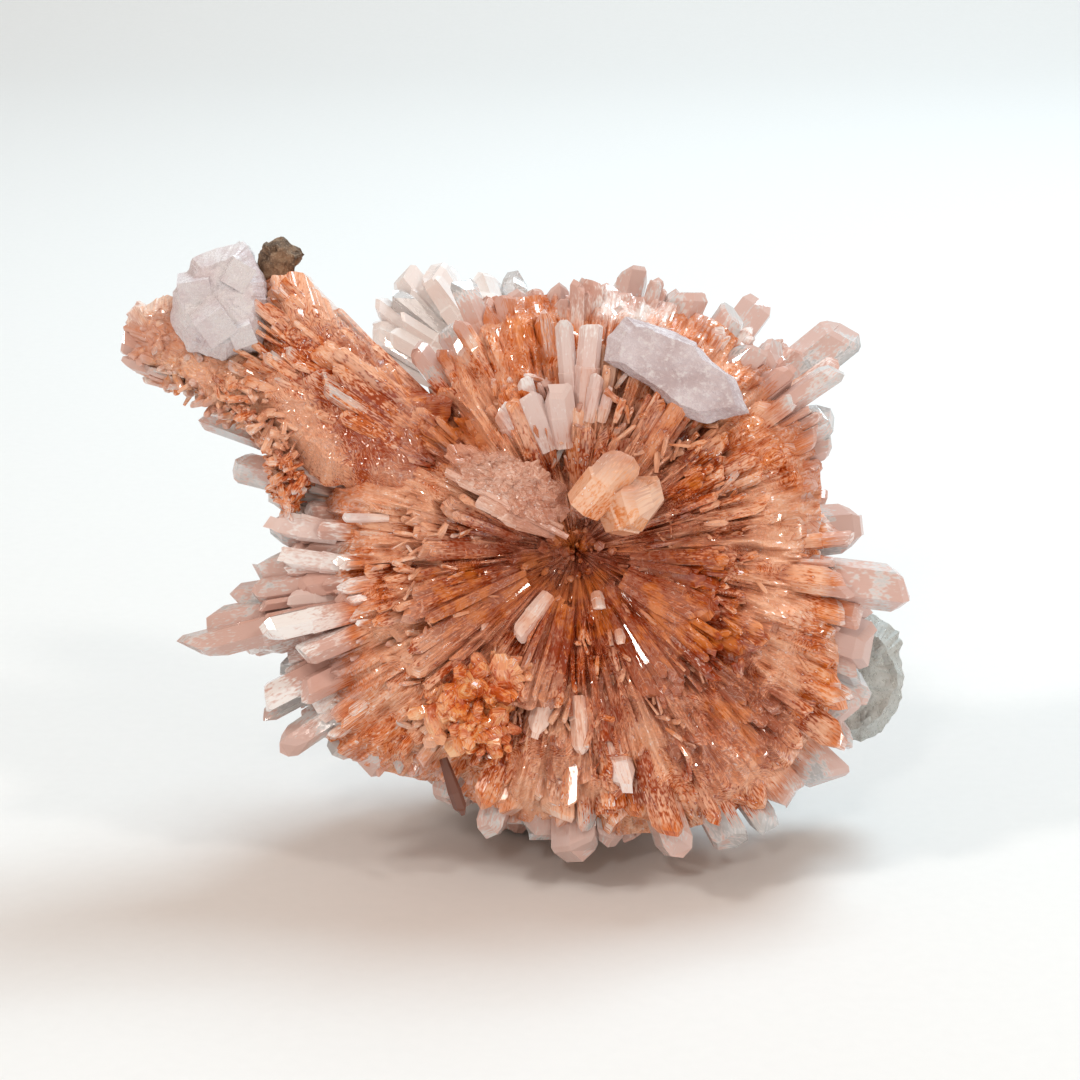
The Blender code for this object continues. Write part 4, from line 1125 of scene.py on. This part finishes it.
# Pale crystals that stand out on the open face: two bright ones at the top, flanks below the
# middle, a lilac one pointing down, and small white blocks. The two bright ones at the top are
# painted pale for the highlight that their faces catch. Three pale ones to their left, and some
# of those far left, paint light into spots that lie in shade. One thin blade is dark brown. Each
# is listed with its root, its tip (right, up, out) and its width.
PALE_AND_PAINTED_LIGHT_CRYSTALS = (
    ((-0.3, 10.6, 4.6), (-0.9, 17.2, 6.2), 1.5), ((0.6, 10.4, 4.8), (1.2, 16.9, 6.4), 2.1),
    ((1.0, 9.6, 5.0), (1.7, 13.2, 6.2), 1.2), ((1.9, 9.6, 5.0), (2.6, 12.2, 6.2), 1.0),
    ((-2.0, -3.4, 3.2), (-4.5, -6.6, 5.4), 1.6), ((-1.9, -9.6, 4.6), (-3.1, -14.0, 6.4), 1.8),
    ((0.2, -11.0, 4.6), (0.5, -15.2, 6.2), 1.7), ((2.6, -13.4, 4.2), (3.9, -18.2, 5.8), 2.3),
    ((-6.2, -5.5, 4.2), (-7.0, -6.1, 5.8), 0.9), ((1.6, -3.2, 3.4), (1.8, -4.4, 5.0), 1.1),
    ((3.2, -6.0, 4.2), (3.5, -7.0, 5.4), 0.8), ((-14.0, 2.4, 4.6), (-17.4, 2.4, 5.8), 0.7),
    ((-18.0, 1.2, 2.6), (-23.4, 2.2, 4.0), 2.2), ((-3.2, 10.6, 5.0), (-3.9, 13.0, 6.2), 1.3),
    ((-17.0, -1.2, 2.6), (-22.4, -0.4, 3.8), 1.8), ((-17.6, -3.4, 2.4), (-21.8, -3.8, 3.4), 1.6),
    ((-2.0, 7.6, 4.0), (-3.8, 11.8, 6.4), 2.4), ((-0.8, 7.8, 4.2), (-1.5, 12.4, 6.6), 2.4),
    ((-3.4, 7.2, 4.0), (-5.8, 11.0, 6.0), 2.2), ((-15.0, 4.6, 1.5), (-21.6, 6.4, 2.4), 1.6),
    ((-16.0, -6.4, 3.0), (-19.8, -7.8, 4.2), 1.6),
)
DARK_BLADE = ((-9.9, -15.6, 4.4), (-8.4, -19.8, 5.4), 1.1)

PALE_AND_PAINTED_LIGHT_STOPS = (
    (0.10, (0.82, 0.44, 0.32)), (0.90, (0.98, 0.90, 0.89)), (0.35, (0.90, 0.66, 0.58)),
    (0.60, (0.94, 0.78, 0.74)),
)


def listed(crystals):
    """Roots, tips and widths of crystals that are listed by their places on the open face."""
    root, tip = (on_face(*np.array([item[end] for item in crystals]).T) for end in (0, 1))
    return root, tip, np.array([item[2] for item in crystals])


# Painted pale: partly their own colour, partly painted highlight and light in shaded spots.
pale_and_painted_light_creedite = creedite_finish("creedite_pale", PALE_AND_PAINTED_LIGHT_STOPS, 0.6, 0.2, (0.03, 0.15), 0.4)
pale_group = prisms(*listed(PALE_AND_PAINTED_LIGHT_CRYSTALS), rng, root_share=0.8, flat=(0.5, 0.8), turned=False)
pale = crystal_object("burr_pale_and_painted_light_crystals", [pale_group], pale_and_painted_light_creedite, rng, 0.25, (0.6, 1.0))
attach(pale, "root")
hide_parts("creedite_burr")
dark_group = prisms(*listed([DARK_BLADE]), rng, flat=(0.4, 0.5), turned=False)
dark_brown, tree, shader = new_finish("dark_brown_blade", 0.2, 1.6)
shader.inputs["Base Color"].default_value = (0.16, 0.06, 0.04, 1.0)
dark_blade = crystal_object("dark_blade", [dark_group], dark_brown, rng, 0.0, (0.6, 1.0))
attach(dark_blade, "root")
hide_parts("creedite_burr")

# The frosted blades: a thin pale plate of parallel crystals, etched dull, that leans out of the
# open face to the left of its middle. Its lower edge is ragged.
FROSTED_OUTLINE = (
    (-9.9, 6.9), (-9.4, 7.6), (-8.0, 7.7), (-5.7, 7.2), (-4.2, 6.7), (-2.3, 6.1), (-1.0, 4.4),
    (-0.8, 2.7), (-1.5, 1.7), (-3.1, 2.0), (-4.6, 2.7), (-5.7, 3.4), (-7.3, 4.4), (-8.8, 5.5),
)
FROSTED_DEPTHS = (5.4, 7.4)
FROSTED_LEAN = (-0.25, 0.12)
FROSTED_LINE = ((-1.0, 3.0, 6.0), (-10.0, 7.0, 7.0))
FROSTED_NEEDLES = (
    ((-1.0, 1.6, 5.6), (-8.9, 5.4, 8.0), 1.0), ((-2.0, 1.2, 5.6), (-7.4, 3.7, 7.6), 1.2),
    ((-1.6, 1.2, 5.0), (-5.8, 2.6, 7.0), 1.4), ((-0.6, 1.0, 5.6), (-9.7, 5.9, 8.2), 0.8),
)

FROSTED_STOPS = (
    (0.10, (0.56, 0.24, 0.16)), (0.95, (0.88, 0.70, 0.64)), (0.40, (0.70, 0.38, 0.28)),
    (0.68, (0.79, 0.52, 0.43)),
)
frosted = creedite_finish("creedite_frosted", FROSTED_STOPS, 0.2, 0.3, (0.15, 0.4), 0.0, 0.5)
plate_slab = (FROSTED_OUTLINE, FROSTED_DEPTHS, 0.9, 0.38, (1.0, 0.45, 0.2), 3)
plate_skin = slab_skin(*plate_slab, steps=160, rows=24, lean=FROSTED_LEAN)
frosted_plate = grown_mass("frosted_plate", plate_skin, frosted, FROSTED_LINE, (0.36, 0.72), rng)
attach(frosted_plate, "root")
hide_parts("creedite_frosted_blades")
needle_group = prisms(*listed(FROSTED_NEEDLES), rng, flat=(0.4, 0.5), turned=False)
needles = crystal_object("frosted_needles", [needle_group], frosted, rng, 0.0, (0.5, 0.9))
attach(needles, "root")
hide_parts("creedite_frosted_blades")

# The cream pair right of the middle: a square-ended block with orange clouds in it, and a round
# clear crystal seen on its end.
CREAM_BLOCK = ((0.4, 3.2, 7.2), (4.1, 7.3, 9.3), 3.3)
ROUND_CRYSTAL = ((3.0, 3.0, 5.2), (5.6, 4.0, 8.9), 4.6)

pair_rng = np.random.default_rng(5)
pair_rows = listed((CREAM_BLOCK, ROUND_CRYSTAL))
pair_group = prisms(*pair_rows, pair_rng, root_share=0.9, flat=(0.9, 1.0), turned=False)
pair = crystal_object("cream_pair", [pair_group], cream, rng, 0.0, (0.62, 0.95))
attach(pair, "root")
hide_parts("creedite_cream_pair")

# Fluorite in three places: a lilac crystal on the arm, a lilac plate across the open face, and a
# grey-green one on the right behind. Their faces are etched, so they look frosted.
ARM_OUTLINE = (
    (-30.3, 19.4), (-28.6, 21.9), (-26.8, 22.7), (-24.8, 23.2), (-23.3, 20.0), (-23.2, 16.8),
    (-23.8, 14.9), (-26.6, 14.3), (-29.0, 15.0), (-30.3, 17.2),
)
ARM_DEPTHS = (-1.6, 5.6)
PLATE_OUTLINE = (
    (2.2, 14.1), (2.3, 15.8), (3.6, 17.4), (6.2, 16.6), (8.8, 15.5), (9.9, 14.2), (11.8, 12.8),
    (12.9, 10.2), (9.6, 9.4), (7.9, 10.1), (5.6, 12.0), (3.3, 13.5),
)
PLATE_DEPTHS = (4.6, 7.6)
PLATE_LEAN = (0.03, 0.06)
GREEN_OUTLINE = (
    (20.4, -5.6), (23.6, -5.2), (25.4, -6.4), (26.3, -9.6), (25.6, -12.6), (23.4, -14.8),
    (20.2, -15.4), (17.4, -13.2), (17.0, -8.8),
)
GREEN_DEPTHS = (-12.6, -5.4)

ARM_CUBES = (
    ((-27.0, 17.0, 5.9), 2.4, (35.0, 34.0)), ((-28.4, 19.4, 4.6), 2.4, (10.0, 25.0)),
    ((-25.4, 20.6, 5.0), 2.0, (60.0, 20.0)), ((-25.0, 16.4, 5.0), 1.8, (20.0, 40.0)),
    ((-25.4, 22.2, 2.8), 1.5, (40.0, 15.0)), ((-28.0, 16.2, 4.6), 1.4, (75.0, 35.0)),
)


def dull_finish(name, dark, light, speck, rough=(0.35, 0.6), clear=0.0, scale=300.0, index=1.46):
    """Etched or crusted surface: two colours in soft patches, fine specks, and a grainy skin."""
    made, tree, shader = new_finish(name, 0.5, index)
    place = node(tree, "ShaderNodeTexCoord").outputs["Object"]
    patch = stepped(tree, speckle(tree, place, scale, 3.0, 0.6), 0.35, 0.65)
    fine = speckle(tree, place, scale * 8.0, 3.0, 0.7)
    colour = mixed(tree, patch, dark, light)
    colour = mixed(tree, stepped(tree, fine, 0.52, 0.68, 0.0, 0.6), colour, speck)
    tree.links.new(colour, shader.inputs["Base Color"])
    tree.links.new(stepped(tree, fine, 0.3, 0.7, *rough), shader.inputs["Roughness"])
    if clear > 0.0:
        clearing = stepped(tree, patch, 0.0, 1.0, clear * 0.6, clear)
        tree.links.new(clearing, shader.inputs["Transmission Weight"])
    bump = node(tree, "ShaderNodeBump", {"Strength": 0.7, "Distance": 0.00015, "Height": fine})
    tree.links.new(bump.outputs[0], shader.inputs["Normal"])
    return made


def cubes(at, size, turn):
    """Cubes with edges of a given length: each is turned on the face, then tipped towards up."""
    spin, tip = np.radians(turn).T[..., None]
    flat_a = np.cos(spin) * RIGHT + np.sin(spin) * UP
    flat_b = -np.sin(spin) * RIGHT + np.cos(spin) * UP
    tipped = np.cos(tip) * flat_b + np.sin(tip) * OUT
    front = -np.sin(tip) * flat_b + np.cos(tip) * OUT
    loop = ((-1, -1), (1, -1), (1, 1), (-1, 1))
    signs = np.array([(*corner, depth) for depth in (-1, 1) for corner in loop])
    axes = np.stack((flat_a, tipped, front), axis=1)
    corners = at[:, None] + 0.5 * size[:, None, None] * np.einsum("ck,nkd->ncd", signs, axes)
    walls = [(side, (side + 1) % 4, (side + 1) % 4 + 4, side + 4) for side in range(4)]
    sides = np.array([(3, 2, 1, 0), (4, 5, 6, 7), *walls])
    return corners.reshape(-1, 3), [(np.arange(len(at))[:, None, None] * 8 + sides).reshape(-1, 4)]


LILACS = ((0.76, 0.66, 0.69), (0.96, 0.93, 0.96), (0.98, 0.95, 0.94))
PLATE_LILACS = ((0.58, 0.47, 0.49), (0.78, 0.70, 0.74), (0.94, 0.92, 0.93))
GREENS = ((0.54, 0.53, 0.49), (0.70, 0.72, 0.69), (0.86, 0.87, 0.85))
FLUORITE_INDEX = 1.434
lilac = dull_finish("fluorite_lilac", *LILACS, (0.15, 0.4), 0.2, index=FLUORITE_INDEX)
plate_lilac = dull_finish("fluorite_lilac_plate", *PLATE_LILACS, (0.15, 0.4), 0.1, index=FLUORITE_INDEX)
green = dull_finish("fluorite_grey_green", *GREENS, (0.2, 0.5), 0.4, index=FLUORITE_INDEX)
skin = slab_skin(ARM_OUTLINE, ARM_DEPTHS, 0.72, 0.2, (1.6, 0.6, 0.25), 5, 1.6)
arm_fluorite = write_mesh("fluorite_on_arm", *skin, lilac)
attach(arm_fluorite, "root")
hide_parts("fluorite_on_arm")
cube_at, cube_size, cube_turn = (np.array(part) for part in zip(*ARM_CUBES))
cube_mesh = write_mesh("fluorite_cubes", *cubes(on_face(*cube_at.T), cube_size, cube_turn), lilac)
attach(cube_mesh, "root")
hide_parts("fluorite_on_arm")
skin = slab_skin(PLATE_OUTLINE, PLATE_DEPTHS, 0.8, 0.12, (1.4, 0.5, 0.25), 8, 1.2, lean=PLATE_LEAN)
plate_fluorite = write_mesh("fluorite_plate", *skin, plate_lilac)
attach(plate_fluorite, "root")
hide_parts("fluorite_plate")
skin = slab_skin(GREEN_OUTLINE, GREEN_DEPTHS, 0.75, 0.35, (1.3, 0.5), 12, 1.8)
green_fluorite = write_mesh("fluorite_green", *skin, green)
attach(green_fluorite, "root")
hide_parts("fluorite_green")

# A chip of the rock it grew on is left at the arm's tip, dark brown and grainy.
CHIP_AT = (-22.5, 21.9, 0.1)
CHIP_SIZE = (1.5, 1.7, 1.6)


def lump_skin(at, size, rough, sizes, seed, rings=28, steps=44):
    """Closed skin of a lump: a ball squashed along the face's axes and ruffled by noise."""
    tilt = np.radians(np.linspace(-90.0, 90.0, rings))[:, None]
    angle = np.radians(np.linspace(0.0, 360.0, steps, endpoint=False))[None, :]
    right = at[0] + size[0] * np.cos(tilt) * np.cos(angle)
    up = at[1] + size[1] * np.cos(tilt) * np.sin(angle)
    out = at[2] + size[2] * np.sin(tilt) + 0.0 * angle
    grid = ruffled(on_face(right, up, out), rough, sizes, seed)
    grid[[0, -1]] = grid[[0, -1]].mean(axis=1, keepdims=True)
    return closed_skin(grid)


ROCK_BROWNS = ((0.10, 0.06, 0.035), (0.32, 0.20, 0.12), (0.52, 0.40, 0.30))
rock = dull_finish("matrix_brown", *ROCK_BROWNS, (0.5, 0.8), 0.0, 900.0)
chip = write_mesh("matrix_tip", *lump_skin(CHIP_AT, CHIP_SIZE, 0.4, (1.0, 0.4), 21), rock)
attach(chip, "root")
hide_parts("matrix_tip")

# An orange crust of iron oxide on the lower left of the open face: knobs and tiny stubby crystals.
CRUST_AT = (-7.2, -11.8, 6.0)
CRUST_SIZE = (2.5, 2.1, 0.9)
CRUST_GRAINS = 190
CRUST_KNOBS = ((-8.2, -12.6), (-8.4, -11.0), (-6.8, -10.2), (-5.2, -9.6), (-9.6, -11.6), (-6.4, -13.2))
CRUST_SPREAD = 0.8

CRUST_ORANGES = ((0.70, 0.17, 0.035), (0.92, 0.40, 0.15), (0.97, 0.66, 0.38))
orange = dull_finish("crust_orange", *CRUST_ORANGES, (0.3, 0.6), 0.0, 420.0)
crust = write_mesh("orange_crust", *lump_skin(CRUST_AT, CRUST_SIZE, 0.5, (1.3, 0.5), 31), orange)
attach(crust, "root")
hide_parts("orange_crust")
knob = rng.integers(0, len(CRUST_KNOBS), CRUST_GRAINS)
stray = rng.normal(0.0, CRUST_SPREAD, (CRUST_GRAINS, 2))
grain_right, grain_up = (np.array(CRUST_KNOBS)[knob] + stray).T
grain_out = CRUST_AT[2] + CRUST_SIZE[2] - 0.16 * (stray**2).sum(axis=1) - 0.25
grain_out += rng.uniform(-0.5, 0.4, CRUST_GRAINS)
grain_at = on_face(grain_right, grain_up, grain_out)
grain_aim = np.concatenate((stray * 0.5, np.ones((CRUST_GRAINS, 1))), axis=1)
grain_aim += rng.normal(0.0, 0.9, grain_aim.shape)
grain_dir = sum(part[:, None] * face_axis for part, face_axis in zip(grain_aim.T, (RIGHT, UP, OUT)))
grain_tip = grain_at + grain_dir * rng.uniform(0.2, 0.9, (CRUST_GRAINS, 1))
grain_width = rng.uniform(0.5, 1.1, CRUST_GRAINS) ** 2 * 1.9
grain_group = prisms(grain_at - grain_dir * 0.5, grain_tip, grain_width, rng, flat=(0.7, 1.0))
CRUST_STOPS = (
    (0.10, (0.60, 0.10, 0.015)), (0.90, (0.98, 0.66, 0.36)), (0.35, (0.86, 0.24, 0.045)),
    (0.62, (0.94, 0.42, 0.14)),
)
crust_crystals = creedite_finish("crust_crystals", CRUST_STOPS, 0.6, 0.2)
grains = crystal_object("crust_grains", [grain_group], crust_crystals, rng, 0.0, (0.15, 0.7))
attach(grains, "root")
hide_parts("orange_crust")
